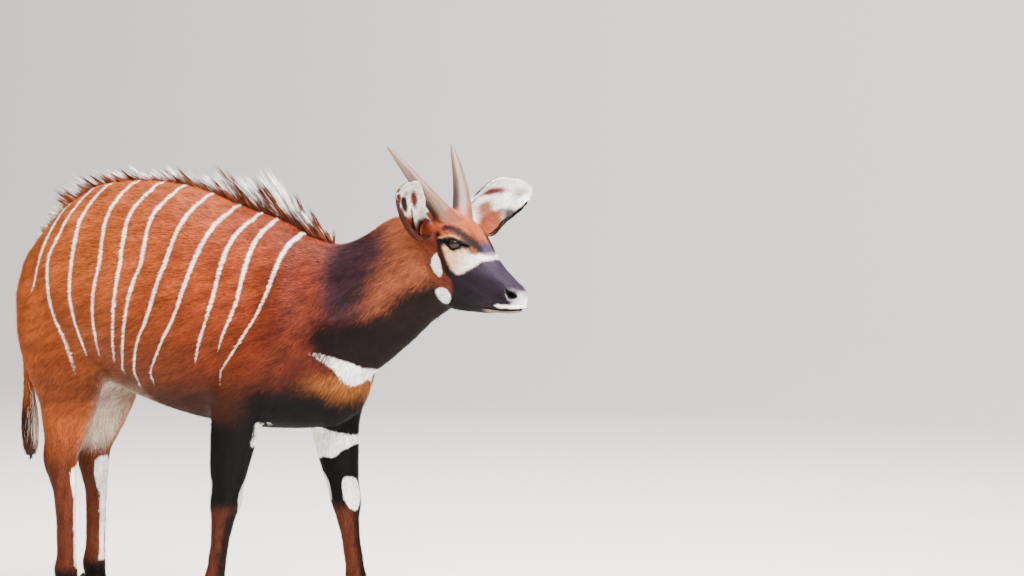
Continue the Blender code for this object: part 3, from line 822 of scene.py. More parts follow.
# marks on the face, in (along, up) of the head, seen from the side
faceMarks = dict(
    cream=((0.052, -0.078), (0.064, -0.090), (0.077, -0.099), (0.090, -0.110), (0.101, -0.118),
           (0.114, -0.121), (0.124, -0.112), (0.134, -0.096), (0.144, -0.083), (0.149, -0.072),
           (0.151, -0.063), (0.158, -0.059), (0.166, -0.053), (0.158, -0.049), (0.150, -0.050),
           (0.141, -0.052), (0.131, -0.054), (0.114, -0.053), (0.102, -0.055), (0.080, -0.060),
           (0.060, -0.068), (0.050, -0.073)),
    dark=((0.300, -0.050), (0.160, -0.050), (0.142, -0.066), (0.130, -0.090), (0.114, -0.108),
          (0.092, -0.100), (0.080, -0.112), (0.084, -0.126), (0.097, -0.138), (0.107, -0.145),
          (0.115, -0.163), (0.118, -0.185), (0.105, -0.215), (0.100, -0.250), (0.320, -0.220)),
    throat=((-0.090, -0.205), (0.000, -0.217), (0.030, -0.204), (0.068, -0.190), (0.100, -0.183),
            (0.130, -0.190), (0.184, -0.182), (0.205, -0.200), (0.100, -0.270), (-0.100, -0.310)),
    brow=((0.029, -0.035), (0.040, -0.029), (0.060, -0.026), (0.081, -0.029), (0.101, -0.034),
          (0.115, -0.040), (0.129, -0.047)),
    behindEye=((0.022, -0.058), (0.034, -0.071), (0.043, -0.083), (0.056, -0.096), (0.069, -0.110),
               (0.085, -0.124), (0.094, -0.133)),
    slateTop=((0.098, -0.030), (0.115, -0.040), (0.127, -0.047), (0.134, -0.054), (0.151, -0.050),
              (0.170, -0.050), (0.165, -0.030), (0.138, -0.022), (0.116, -0.034)),
    fold=((0.032, -0.062), (0.044, -0.051), (0.054, -0.044), (0.066, -0.039), (0.079, -0.038),
          (0.089, -0.042), (0.096, -0.049)),
    ochre=((0.108, -0.050), (0.115, -0.044), (0.126, -0.046), (0.137, -0.056), (0.120, -0.060)),
    tear=((0.090, -0.057), (0.101, -0.052), (0.113, -0.050)),
    rear=((0.062, -0.066), (0.052, -0.065), (0.041, -0.068)),
    preEye=((0.082, -0.043), (0.096, -0.038), (0.110, -0.042), (0.117, -0.049), (0.112, -0.055),
            (0.098, -0.058), (0.086, -0.056)),
    upperLip=((0.230, -0.1455), (0.240, -0.1375), (0.256, -0.1300), (0.272, -0.1215), (0.290, -0.1145),
              (0.290, -0.122), (0.276, -0.1285), (0.258, -0.1370), (0.242, -0.1455)),
    cheekSpot=((0.041, -0.101), (0.035, -0.118), (0.037, -0.134), (0.052, -0.148), (0.068, -0.152),
               (0.078, -0.149), (0.075, -0.134), (0.060, -0.114)),
    jawSpot=((0.081, -0.174), (0.067, -0.188), (0.071, -0.203), (0.088, -0.215), (0.106, -0.214),
             (0.117, -0.193), (0.110, -0.179), (0.098, -0.171)),
)


def layered(base, *coats):
    # colours laid one over another, each with its share
    for name, share in coats:
        base = blend(base, colour[name], np.clip(share, 0, 1)[:, None])
    return base


def stripePlace(model):
    # (count along the stripes, metres between them, half their width)
    angle = np.degrees(np.arctan2(np.abs(model[:, 1]), model[:, 2] - body["barrel"]))
    left = model[:, 1] > 0
    xs = []
    for k, row in enumerate(stripes["places"]):
        drift = 0.006 * math.sin(2.1 * k + 0.6) * smooth(15, 60, angle) * left
        xs.append(curve(stripes["angles"], row, angle) + drift)
    xs = np.array(xs)
    x = model[:, 0]
    below = (xs < x).sum(0)
    low = np.clip(below - 1, 0, len(xs) - 2)
    column = np.arange(len(x))
    gap = xs[low + 1, column] - xs[low, column]
    count = np.clip(low + (x - xs[low, column]) / gap, -0.45, len(xs) - 0.55)
    end = np.array(stripes["ends"], float)[np.clip(np.round(count), 0, len(xs) - 1).astype(int)]
    way = angle / end
    half = stripes["half"] * np.interp(way, stripes["way"], stripes["width"])
    return count, gap, half


def paintLegs(points, ground, white, tail):
    z, angle, radius, fore = legPlace(points)
    x, y = (points - home)[:, 0], (points - home)[:, 1]
    foreleg, near = fore == 1, y < 0

    def spot(turned, reach, height, halves):
        # depth inside an oval on the leg, by metres round it and up
        return ovalDepth(np.stack([np.radians(turned) * reach, z - height], 1), (0, 0), halves)

    # forelegs: black from the elbow down, white round the inside and front above the knee
    top = 0.582 + 0.066 * smooth(0.285, 0.36, x)
    dark = smooth(0.030, -0.030, z - top) * smooth(0.335, 0.365, z)
    dark = np.maximum(dark, smooth(62, 30, np.abs(angle - 10)) * smooth(0.36, 0.33, z) * 0.9)
    foreCoat = layered(ground, ("cannon", smooth(0.37, 0.33, z)), ("black", dark))
    low = 0.472 + 0.036 * smooth(-100, 5, angle) + 0.010 * near
    high = 0.552 + 0.044 * smooth(-90, 5, angle) + 0.022 * ~near
    turnIn = np.where(angle > 150, angle - 360, angle)
    sides = np.radians(np.minimum(turnIn + 176 + 12 * near, np.where(near, 2, 26) - turnIn)) * 0.042
    band = np.minimum(np.minimum(z - low, high - z), sides)
    behind = (angle - np.where(near, 172, -158) + 180) % 360 - 180
    pastern = spot(angle, 0.030, 0.098, (0.020, 0.016))
    foreWhite = np.maximum.reduce([band, spot(angle + 30, 0.042, 0.382, (0.030, 0.044)),
                                   spot(behind, 0.038, 0.395, (0.018, 0.034)), pastern])
    # hind legs: pale inside, a white hock and a strip down the front of the shank, a dark fetlock
    dark = np.maximum(smooth(0.175, 0.150, z) * smooth(0.095, 0.110, z), smooth(0.075, 0.060, z))
    hindCoat = layered(ground, ("cannon", smooth(0.56, 0.42, z) * 0.95), ("black", dark))
    strip = np.minimum(np.radians(20 - np.abs(angle + 12)) * 0.030, np.minimum(z - 0.165, 0.36 - z))
    hindWhite = np.maximum.reduce([spot(angle + 18, 0.040, 0.392, (0.028, 0.052)), strip, pastern])
    ground = np.where(foreleg[:, None], foreCoat, hindCoat)
    # no white on the breast between the legs or under the trunk
    mark = np.minimum(np.where(foreleg, foreWhite, hindWhite), 0.075 - radius)
    mark = np.where(foreleg & ~near, np.minimum(mark, x - 0.400 + 2 * np.maximum(0, 0.552 - z)), mark)
    mark = np.minimum(mark, (np.abs(y) - 0.034 - 0.050 * smooth(0.545, 0.575, z) * near) * 2)
    elbow = np.minimum(patchDepth(np.stack([x, z], 1), elbowPatch), -0.050 - y)
    nearMark = np.maximum(np.minimum(mark, np.minimum(0.552 - z, 0.336 - x)), elbow)
    mark = np.where(foreleg & near, nearMark, mark)
    inner = smooth(20, -60, angle) * smooth(-179, -150, angle)
    pale = ~foreleg * inner * smooth(0.445, 0.50, z) * smooth(0.76, 0.62, z) * (1 - tail)
    ground = layered(ground, ("thigh", pale * 0.85), ("black", smooth(0.085, 0.065, z)))
    return ground, np.where(smooth(0.66, 0.60, z) > 0.3, np.maximum(white, mark), white)


def paintHead(points, ground, white, head):
    local = toHead(points)
    side = local[:, [0, 2]]
    along, out, up = local[:, 0], np.abs(local[:, 1]), local[:, 2]

    def within(name, soft):
        return smooth(-soft, soft, patchDepth(side, faceMarks[name]))

    def near(name, half, soft):
        return smooth(half + soft, half - soft, lineGap(side, faceMarks[name]))

    top = smooth(-0.075, -0.030, up)
    dark = within("dark", 0.004)
    cream = within("cream", 0.0028)
    face = layered(
        np.tile(colour["cheek"], (len(points), 1)),
        ("forehead", top * smooth(0.15, 0.10, along)),
        ("rust", smooth(0.02, -0.05, along) * 0.6),
        ("rust", smooth(0.050, 0.068, out) * top * 0.9),
        # dark slate hair over the nose bridge, its lilac tint a painted sheen
        ("slateBrow", within("slateTop", 0.008) * 0.96),
        ("black", smooth(-0.014, 0.008, patchDepth(side, faceMarks["throat"]))),
        ("slate", dark),
        ("slateSheen", dark * smooth(-0.110, -0.050, up) * 0.55),
        ("black", dark * smooth(-0.110, -0.180, up + 0.25 * (along - 0.15)) * 0.75),
        ("browDark", near("brow", 0.0070, 0.0034) * (out > 0.018)),
        ("browDark", within("preEye", 0.0034) * 0.92),
        # painted shade falling from the ear's base down behind the eye
        ("saddle", near("behindEye", 0.010, 0.009) * smooth(-0.095, -0.070, up) * 0.75),
        ("black", near("behindEye", 0.0072, 0.0042) * 0.95),
        ("cream", cream),
        ("white", cream * smooth(0.090, 0.140, along) * 0.8),
        # painted shade round the fold of the upper lid, with a painted highlight along its crest
        ("cannon", near("fold", 0.0050, 0.0035) * 0.8),
        ("fold", near("fold", 0.0021, 0.0017) * 0.95),
        ("ochre", within("ochre", 0.0030)),
        ("rim", near("tear", 0.0026, 0.0022) * 0.9),
        ("rim", near("rear", 0.0040, 0.0026) * 0.92),
    )
    for hand in (1, -1):
        edge, rise, across, front = eyeEdge(points, hand)
        mine = (np.linalg.norm(points - eyeCentres[hand], axis=1) < 0.05) & (front > 0)
        reach = 0.0042 + 0.0010 * smooth(0, -20, rise) + 0.0018 * smooth(45, 75, np.abs(across))
        eyeSpot = toHead(eyeCentres[hand][None])[0, [0, 2]]
        socket = np.where(local[:, 1] * hand > 0, ovalDepth(side, eyeSpot, eyeForm["socket"], 16), -1)
        face = layered(face, ("rim", mine * smooth(0.0008, -0.0008, edge - reach)),
                       ("rim", smooth(-0.0016, 0.0016, socket)))
    # nostrils, the dark line of the mouth and the pale chin; the pale grey round the nostrils and on the nose
    # pad, and the white at its front, are a painted reflection on the wet black nose
    ring, _ = nostrilPlace(local)
    below = np.exp(-((ring - 1.55) / 0.25) ** 2) * (up < nose["centre"][2] - 0.004) * (along < 0.272)
    over = np.exp(-((ring - 1.65) / 0.35) ** 2) * (up > nose["centre"][2]) * smooth(0.240, 0.262, along)
    pad = smooth(0.268, 0.279, along) * smooth(-0.128, -0.120, up) * smooth(-0.072, -0.086, up)
    underLip = up - np.interp(along, *zip(*fineSpots["lipLine"]))
    lips = smooth(0.0036, 0.0020, lineGap(side, fineSpots["lipLine"]))
    face = layered(
        face,
        ("rim", smooth(1.08, 0.90, ring)),
        # painted reflection on the wet nose: pale rims round the nostrils, the pad, and a white gleam at its
        # front
        ("pad", below * 0.8),
        ("pad", over * 0.22),
        ("pad", pad * smooth(0.95, 1.25, ring) * 0.9),
        ("white", pad * smooth(0.281, 0.292, along) * 0.85),
        ("chin", smooth(0.196, 0.222, along) * smooth(-0.001, -0.005, underLip) * 0.95),
        ("rim", lips * smooth(0.186, 0.200, along)),
    )
    cheek, jaw, lip = (patchDepth(side, faceMarks[name]) for name in ("cheekSpot", "jawSpot", "upperLip"))
    mark = np.maximum.reduce([cheek, np.where(out > 0.008, jaw, -0.02), lip])
    mark = np.where(head > 0.02, np.maximum(mark, np.where(head < 0.5, white, -0.02)), white)
    return blend(ground, face, head[:, None]), mark


# marks in the ears, by share along and across; the two differ a little
earMarks = dict(
    red={1: ((0.565, -0.41), (0.21, 0.10), 41), -1: ((0.355, -0.60), (0.18, 0.115), -50)},
    ochre={1: ((0.855, -0.02), (0.075, 0.22), 0), -1: ((0.55, -0.47), (0.06, 0.07), 0)},
    purple={1: ((0.30, -0.10), (0.08, 0.14), 0), -1: ((0.48, -0.22), (0.18, 0.135), -50)},
    edge=((0.62, -0.24), (0.72, -0.32), (0.86, -0.30), (1.00, -0.10), (1.0, 1.1), (0.55, 1.1), (0.58, 0.20)),
    fringe={1: (((0.585, 0.24), (0.70, 0.40), (0.80, 0.83), (0.68, 1.05), (0.42, 1.05), (0.54, 0.72),
                 (0.60, 0.45)),),
            -1: (((0.70, 0.55), (0.84, 0.70), (0.84, 1.05), (0.60, 1.05)),)},
    rust={1: (((0.34, 0.16), (0.52, 0.16), (0.60, 0.26), (0.62, 0.45), (0.56, 0.74), (0.44, 1.05),
               (0.05, 1.05), (0.10, 0.50)),),
          -1: (((0.05, -0.10), (0.20, -0.20), (0.34, -0.02), (0.50, 0.10), (0.66, 0.30), (0.72, 0.60),
                (0.60, 1.1), (0.02, 1.1)),)},
    base=((0.24, -0.34), (0.18, -0.21), (0.14, -0.06), (0.12, 0.17), (0.20, 0.50), (0.36, 0.85)),
)


def paintEars(points, ground, white, ears):
    share, u, v, cup = ears
    flat = np.stack([u, v], 1)
    left = toHead(points)[:, 1] > 0

    def marked(name, soft, depth):
        found = earMarks[name]
        return smooth(-soft, soft, np.where(left, depth(flat, *found[1]), depth(flat, *found[-1])))

    pink = smooth(0.60, 0.46, u) * smooth(0.24, 0.38, u) * smooth(0.36, 0.16, np.abs(v - 0.04)) * left
    inside = layered(
        np.tile(colour["white"], (len(u), 1)),
        ("earPink", pink),
        ("earRust", marked("rust", 0.07, patchDepth)),
        ("earRust", smooth(-0.04, 0.04, patchDepth(flat, earMarks["edge"])) * ~left),
        # painted shade in the lower hollow of the right ear
        ("belly", smooth(0.40, 0.24, u) * smooth(-0.10, 0.12, v) * ~left * 0.9),
        ("ochre", marked("ochre", 0.07, ovalDepth) * 0.8),
        ("earRed", marked("red", 0.055, ovalDepth)),
        ("saddle", marked("purple", 0.035, ovalDepth) * ~left),
        ("belly", marked("fringe", 0.07, patchDepth) * 0.97),
        ("black", smooth(0.05, 0.025, lineGap(flat, earMarks["base"])) * ~left),
        ("saddle", smooth(0.09, 0.02, u) * smooth(-0.50, -0.30, v) * 0.9),
        ("earRust", smooth(0.04, -0.03, u) * smooth(-0.30, -0.50, v) * 0.9),
    )
    back = layered(
        np.tile(colour["earBack"], (len(u), 1)),
        ("saddle", smooth(0.15, 0.75, v) * 0.7),
        ("black", smooth(-0.80, -0.95, v) * smooth(0.5, 0.3, u) * 0.9),
        ("white", smooth(0.88, 0.96, u) * 0.8 * left),
    )
    leaf = blend(back, inside, cup[:, None])
    return blend(ground, leaf, share[:, None]), np.where(share > 0.5, -0.05, white)


def paint(points, ears):
    # every mark on the coat: ground colour, depth inside a white patch, and the stripes' place
    model = points - home
    x, y, z = model.T
    head, leg, tail = shares(points)
    sideView = model[:, [0, 2]]
    lowDark = smooth(0.74, 0.60, z - 0.03 * smooth(0.0, 0.5, x)) * smooth(-0.30, -0.05, x)
    lowDark = lowDark * (1 - smooth(0.66, 0.60, z) * (x < 0)) * 0.85
    ground = layered(
        np.tile(colour["rust"], (len(points), 1)),
        ("orange", smooth(0.30, -0.20, x) * 0.75),
        ("brick", smooth(0.24, 0.46, x) * 0.85),
        ("belly", lowDark),
    )
    # painted shade: the trunk's colour is darkened downwards, where less light falls
    shade = (0.54 - 0.20 * smooth(0.15, 0.35, x)) * smooth(0.97, 0.70, z) * smooth(-0.42, -0.20, x)
    shade *= (1 - leg) * (1 - head) * (1 - tail) * (1 - 0.5 * smooth(0.44, 0.50, x))
    under = smooth(0.682, 0.628, z + 0.05 * smooth(0.49, 0.55, x) + 0.006 * np.sin(47 * x))
    tailEdge = smooth(0.012, 0.022, x + 0.412) * smooth(0.88, 0.80, z) * smooth(0.60, 0.66, z)
    ground = layered(
        ground * (1 - shade)[:, None],
        ("breast", smooth(0.43, 0.53, x) * smooth(0.600, 0.640, z) * smooth(0.715, 0.665, z) * 0.95),
        ("black", under * smooth(0.27, 0.36, x)),
        ("neck", smooth(0.56, 0.66, x) * smooth(0.80, 0.86, z) * 0.8),
        ("saddle", smooth(-0.034, 0.040, patchDepth(sideView, saddlePatch)) * 0.92),
        ("black", smooth(-0.024, 0.018, patchDepth(sideView, throatPatch)) * 0.97),
        ("black", tail * smooth(0.66, 0.54, z) * 0.93),
        ("thigh", tail * tailEdge),
    )
    upper, lower = (curve(crescent["across"], crescent[key], np.abs(y)) for key in ("upper", "lower"))
    white = np.where(x > 0.42, np.minimum(upper - z, z - lower), -0.05)
    ground, white = paintLegs(points, ground, white, tail)
    ground, white = paintHead(points, ground, white, head)
    ground, white = paintEars(points, ground, white, ears)
    count, gap, half = stripePlace(model)
    # slow waver of the marks' edges
    waver = np.sin(95 * x + 40 * z + 1.3) + np.sin(70 * z - 55 * x + 2.1) + np.sin(88 * y + 61 * z + 120 * x)
    half = np.where((head > 0.02) | (leg > 0.9) | (tail > 0.4), -0.01, half + 0.0003 * waver)
    white = white + waver * (0.0011 - 0.0007 * head)
    return ground, np.clip(white, -0.02, 0.02), count, gap, half


combs = dict(trunk=0.34, leg=1.50, foreAt=(0.33, 0, 0.56), hindAt=(-0.25, 0, 0.56))


def combed(points):
    # coordinates whose first axis runs along the hair, for the fine streaks
    model = points - home
    head, leg, tail = shares(points)
    down = np.clip(leg * smooth(0.05, 0.12, np.abs(model[:, 0])) + tail, 0, 1)

    def turned(spot, angle):
        x, y, z = spot.T
        return np.stack([x * np.cos(angle) + z * np.sin(angle), y, z * np.cos(angle) - x * np.sin(angle)], 1)

    pivot = np.where(model[:, [0]] > 0, combs["foreAt"], combs["hindAt"])
    flat = turned(model - pivot, blend(combs["trunk"], combs["leg"], down)) + turned(pivot, combs["trunk"])
    joined = turned((seamPlace - home)[None], combs["trunk"]) - toHead(seamPlace[None])
    return blend(flat, toHead(points) + joined, head[:, None])


def setMarks(mesh, points, ears):
    ground, *numbers = paint(points, ears)
    setLayer(mesh, "ground", ground, "FLOAT_COLOR")
    for name, values in zip(("white", "stripeCount", "stripeGap", "stripeHalf"), numbers):
        setLayer(mesh, name, values)
    setLayer(mesh, "combed", combed(points), "FLOAT_VECTOR")


def feed(tree, node, inputs):
    # links or sets a node's inputs
    for key, value in inputs.items():
        if isinstance(value, bpy.types.NodeSocket):
            tree.links.new(value, node.inputs[key])
        else:
            node.inputs[key].default_value = value


# one function adds any shader node and gives back one of its outputs
def addNode(tree, kind, inputs=None, out=0, **settings):
    node = tree.nodes.new("ShaderNode" + kind)
    for key, value in settings.items():
        setattr(node, key, value)
    feed(tree, node, inputs or {})
    return node.outputs[out]


def newMaterial(name):
    # a material, what adds a node to it, and what feeds its shader
    made = bpy.data.materials.new(name)
    made.use_nodes = True
    tree = made.node_tree
    return made, partial(addNode, tree), partial(feed, tree, tree.nodes["Principled BSDF"])


coatFinish = dict(
    streaks=(26, 330, 330),     # a metre along the hair and across it
    clumps=(9, 55, 55),
    patches=7.0,
    levels=((0.25, 0.75, 0.74, 1.22), (0.3, 0.7, 0.70, 1.24), (0.3, 0.7, 0.78, 1.18)),
    hairTone=(0, 1, 0.52, 1.42),
    # painted shade: each lock darker at its root, where the locks shade one another, a little lighter at its
    # tip
    hairTip=(0, 1, 0.80, 1.08),
    edgeSoftness=0.0017,
    edgeRagged=0.0032,
    roughness=0.50,
    gloss=0.07,
    keratin=1.55,               # index of refraction of hair and horn
    bump={"Strength": 0.45, "Distance": 0.0012},
)


def coatMaterial(name, onHair):
    # short glossy antelope hair: each hair is a fine lengthwise gleam, so colour and bump run in streaks
    made, add, finish = newMaterial(name)
    comb = add("Attribute", out="Vector", attribute_name="combed")
    fine, wide = (add("TexNoise", {"Vector": add("Mapping", {"Vector": comb, "Scale": coatFinish[key]}),
                                   "Scale": 1.0, "Detail": detail})
                  for key, detail in (("streaks", 3.0), ("clumps", 2.0)))
    broad = add("TexNoise", {"Vector": comb, "Scale": coatFinish["patches"], "Detail": 2.0})
    # ragged edge that follows the hair
    ragged = add("Math", {0: fine, 1: 2 * coatFinish["edgeRagged"], 2: -coatFinish["edgeRagged"]},
                 operation="MULTIPLY_ADD")
    count, gap, half, white = (add("Attribute", out="Fac", attribute_name=key)
                               for key in ("stripeCount", "stripeGap", "stripeHalf", "white"))
    offset = add("Math", {0: count, 1: add("Math", {0: count}, operation="ROUND")}, operation="SUBTRACT")
    away = add("Math", {0: add("Math", {0: offset}, operation="ABSOLUTE"), 1: gap}, operation="MULTIPLY")
    inStripe = add("Math", {0: half, 1: away}, operation="SUBTRACT")
    soft = coatFinish["edgeSoftness"]
    inside = (add("Math", {0: depth, 1: ragged}, operation="ADD") for depth in (inStripe, white))
    stripe, patch = (add("MapRange", {0: depth, 1: -soft, 2: soft}) for depth in inside)
    pale = add("Math", {0: stripe, 1: patch}, operation="MAXIMUM")
    spans = list(zip((fine, wide, broad), coatFinish["levels"]))
    if onHair:
        # tone differs at random from lock to lock; tipward carries the painted shade at each lock's root
        spans += [(add("Attribute", out="Fac", attribute_name=key), coatFinish[span])
                  for key, span in (("tone", "hairTone"), ("tipward", "hairTip"))]
    shade = 1.0
    for source, span in spans:
        level = add("MapRange", dict(enumerate((source, *span))))
        shade = add("Math", {0: shade, 1: level}, operation="MULTIPLY")
    ground = add("Attribute", out="Color", attribute_name="ground")
    base = add("Mix", {0: pale, 6: ground, 7: hexColour(coatColours["white"])}, 2, data_type="RGBA")
    finish({
        "Base Color": add("VectorMath", {0: base, "Scale": shade}, operation="SCALE"),
        "Roughness": coatFinish["roughness"],
        "IOR": coatFinish["keratin"],
        "Specular IOR Level": coatFinish["gloss"],
        "Normal": add("Bump", {**coatFinish["bump"], "Height": fine}),
    })
    return made


hairMaterial = coatMaterial("looseAntelopeHair", onHair=True)
setMarks(skin.data, skinPoints, earPlace)
dress(skin, coatMaterial("closeAntelopeHair", onHair=False))
print("skin painted")

# the coat: thin overlapping tufts that follow the lie of the hair
coat = dict(
    seed=11,
    bakePatch=0.003,
    stray=0.0075,
    trunkEach=27000,            # tufts in each sixth of the trunk and neck
    legEach=24000,              # in each pair of legs
    headEach=32000,             # in each half of the head
    earEach=11000,
    bodyLength=(0.013, 0.020),
    bodyBreadth=0.0027,
    legLength=(0.009, 0.014),
    legBreadth=0.0021,
    faceLength=(0.0040, 0.0075),
    faceBreadth=0.0014,
    breastLength=0.030,
    earLength=(0.006, 0.011),
    beardLength=0.011,
    bodyLift=0.26,              # rise of the tip for each metre of length
    faceLift=0.20,
    earLift=0.16,
    rumpEnd=-0.05,              # borders between the pieces of the trunk's coat
    flankEnd=0.30,
    legTop=0.56,
)
dice = np.random.default_rng(coat["seed"])


def triangleFields():
    corners = skinPoints[skinTriangles]
    across = np.cross(corners[:, 1] - corners[:, 0], corners[:, 2] - corners[:, 0])
    return corners.mean(1), np.linalg.norm(across, axis=1) / 2


def bareShare(points):
    # where no tuft grows: lids, nostrils, nose pad, lips
    local = toHead(points)
    along, out, up = local[:, 0], np.abs(local[:, 1]), local[:, 2]
    bare = nostrilPlace(local)[0] < 1.5
    for hand in (1, -1):
        edge, _, _, front = eyeEdge(points, hand)
        bare |= (np.linalg.norm(points - eyeCentres[hand], axis=1) < 0.04) & (front > 0) & (edge < 0.0036)
    gap = lineGap(local[:, [0, 2]], fineSpots["lipLine"])
    bare |= (gap < 0.0035) & (along > 0.198) & (out < fineSpots["lipWidth"])
    return np.maximum(bare, smooth(0.268, 0.276, along) * (up > -0.126))


def scatter(weights, count):
    # evenly spread picks over the triangles, each with a place inside
    total = np.cumsum(weights)
    picks = (np.arange(count) + dice.random(count)) / count * total[-1]
    chosen = np.clip(np.searchsorted(total, picks), 0, len(weights) - 1)
    a, b = dice.random(count), dice.random(count)
    flip = a + b > 1
    a, b = np.where(flip, 1 - a, a), np.where(flip, 1 - b, b)
    return chosen, np.stack([1 - a - b, a, b], 1)


def unwrapPart(mask):
    # lays this part of the skin flat and returns the map's corners for every triangle
    clearPicks(skin, "FACE")
    skin.data.polygons.foreach_set("select", mask)
    setMode("EDIT")
    bpy.ops.uv.smart_project(angle_limit=math.radians(66), island_margin=0.003, scale_to_bounds=True)
    setMode("OBJECT")
    return readAll(skin.data.uv_layers.active.data, "uv", 2)[skinLoops]


def growHair(name, spines, across, ups, breadths, uvs, ears, tint=None, keep=0.55, laid=False):
    # closed tapering locks: three sides at each ring of the spine and one point at the tip
    tones = dice.random(len(spines))
    count, rings = spines.shape[:2]
    sides = np.array([-1.0, 1.0, 0.0])
    lifts = np.array([0.0, 0.0, 0.62])
    taper = np.linspace(1, keep, rings - 1)
    corners = across[:, None, None, :] * sides[:, None] + ups[:, None, None, :] * lifts[:, None]
    rows = spines[:, :-1, None, :] + corners * (breadths[:, None, None, None] / 2 * taper[:, None, None])
    each = 3 * (rings - 1) + 1
    points = np.concatenate([rows.reshape(count, -1, 3), spines[:, -1:, :]], 1).reshape(-1, 3)
    faces = [(0, 2, 1)]
    for a in range(0, 3 * (rings - 1), 3):
        for i, j in ((0, 2), (2, 1), (1, 0)):
            if a + 4 == each:
                faces.append((a + i, each - 1, a + j))
            else:
                faces += [(a + i, a + 3 + i, a + j), (a + j, a + 3 + i, a + 3 + j)]
    triangles = (np.arange(count)[:, None, None] * each + np.array(faces)).reshape(-1, 3)
    mesh = bpy.data.meshes.new(name)
    mesh.vertices.add(len(points))
    mesh.vertices.foreach_set("co", points.astype(np.float32).ravel())
    mesh.loops.add(triangles.size)
    mesh.loops.foreach_set("vertex_index", triangles.astype(np.int32).ravel())
    mesh.polygons.add(len(triangles))
    mesh.polygons.foreach_set("loop_start", np.arange(0, triangles.size, 3, dtype=np.int32))
    mesh.update(calc_edges=True)
    # each lock's patch of the map lies at its root's place
    way = np.repeat(np.linspace(-0.5, 0.30, rings - 1), 3)
    patch = np.stack([
        np.concatenate([np.tile([-0.5, 0.5, 0.0], rings - 1), [0.0]]),
        np.concatenate([way + np.tile([0, 0, 0.12], rings - 1), [0.5]]),
    ], 1)
    flat = np.clip(uvs, 0.002, 0.998)[:, None, :] + patch * coat["bakePatch"]
    layer = mesh.uv_layers.new(name="OFBake")
    layer.data.foreach_set("uv", flat.reshape(-1, 2)[triangles.ravel()].astype(np.float32).ravel())
    # marks follow each part of the lock, drawn back a little towards its root
    base, tip = spines[:, 0], spines[:, -1]
    drawn = points.reshape(count, each, 3) - 0.06 * (tip - base)[:, None, :]
    marksAt = drawn + dice.normal(0, 0.0010, (count, 1, 3))
    ears = tuple(np.repeat(values, each) for values in ears)
    setMarks(mesh, marksAt.reshape(-1, 3), ears)
    # soft borders of the ground colour break up into single tufts
    stray = dice.normal(0, coat["stray"], (count, 1, 3)) * (1 - 0.75 * shares(base)[0])[:, None, None]
    ground = paint((drawn + stray).reshape(-1, 3), ears)[0]
    share = np.concatenate([np.repeat(np.linspace(0, 1, rings)[:-1], 3), [1.0]])
    if tint is not None:
        ground = tint(share).reshape(-1, 3)
        setLayer(mesh, "white", np.full(count * each, -0.02))
        setLayer(mesh, "stripeHalf", np.full(count * each, -0.01))
    setLayer(mesh, "ground", ground, "FLOAT_COLOR")
    setLayer(mesh, "tipward", np.tile(share, count))
    setLayer(mesh, "tone", np.repeat(tones, each))
    made = newObject(name, mesh)
    dress(made, hairMaterial)
    if laid:
        # laid hair shades with the body's form, with a little roundness of its own
        bend = np.concatenate([np.tile(sides, rings - 1), [0.0]]) * 0.50
        soft = unit(ups[:, None, :] + across[:, None, :] * bend[:, None]).reshape(-1, 3)
        mesh.normals_split_custom_set_from_vertices(soft.tolist())
    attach(made, "root")
    return made


def spinesOf(root, way, length, shape):
    # the line of each lock: its root, its way, and how far it leaves that at each share of its length
    steps = [root + (way * share + shape(share)) * length[:, None] for share in (0, 0.34, 0.70, 1.0)]
    return np.stack(steps, 1)


def rootsOn(chosen, inside, flat):
    corners = skinTriangles[chosen]
    inside3 = inside[:, :, None]
    place = (skinPoints[corners] * inside3).sum(1)
    normal = unit((skinNormals[corners] * inside3).sum(1))
    share, u, v, cup = ((values[corners] * inside).sum(1) for values in earPlace)
    return place, normal, (flat[chosen] * inside3).sum(1), (share, u, v, np.round(cup))


def growTufts(name, weights, count, flat):
    place, normal, uv, ears = rootsOn(*scatter(weights, count), flat)
    head, leg, _ = shares(place)
    local = toHead(place)
    x, _, z = (place - home).T
    side = np.where(ears[1] >= 0, np.sign(local[:, 1]), 1)
    lie = lieOf(place, normal, ears[0], side)
    wander = dice.normal(0, 0.16, count)
    lie = unit(lie + np.cross(normal, lie) * wander[:, None])
    across = unit(np.cross(normal, lie))
    roll = dice.random(count)
    body, low, face, inEar = (blend(*coat[part + "Length"], roll) for part in ("body", "leg", "face", "ear"))
    length = blend(blend(body, low, leg), face, head)
    length *= 1 - 0.35 * smooth(0.10, 0.24, local[:, 0]) * head
    onEar = ears[0] > 0.5
    length = np.where(onEar, inEar, length)
    breast = smooth(0.48, 0.54, x) * smooth(0.60, 0.63, z) * smooth(0.72, 0.68, z)
    length = blend(length, coat["breastLength"] * (0.7 + 0.5 * roll), breast)
    beard = smooth(-0.180, -0.200, local[:, 2]) * smooth(0.02, 0.06, local[:, 0]) * head
    beard *= smooth(0.19, 0.14, local[:, 0])
    length += coat["beardLength"] * beard * (0.5 + 0.8 * roll)
    breadth = blend(blend(coat["bodyBreadth"], coat["legBreadth"], leg), coat["faceBreadth"], head)
    breadth = breadth * (0.8 + 0.4 * dice.random(count))
    lift = blend(coat["bodyLift"], coat["faceLift"], head) * (0.6 + 0.8 * dice.random(count))
    lift = np.where(onEar, coat["earLift"], lift) * 0.95
    way = lie + normal * lift[:, None] + across * dice.normal(0, 0.06, count)[:, None]
    spines = np.stack([place - normal * 0.0007, place + way * length[:, None]], 1)
    growHair(name, spines, across, normal, breadth, uv, ears, keep=0.8, laid=True)


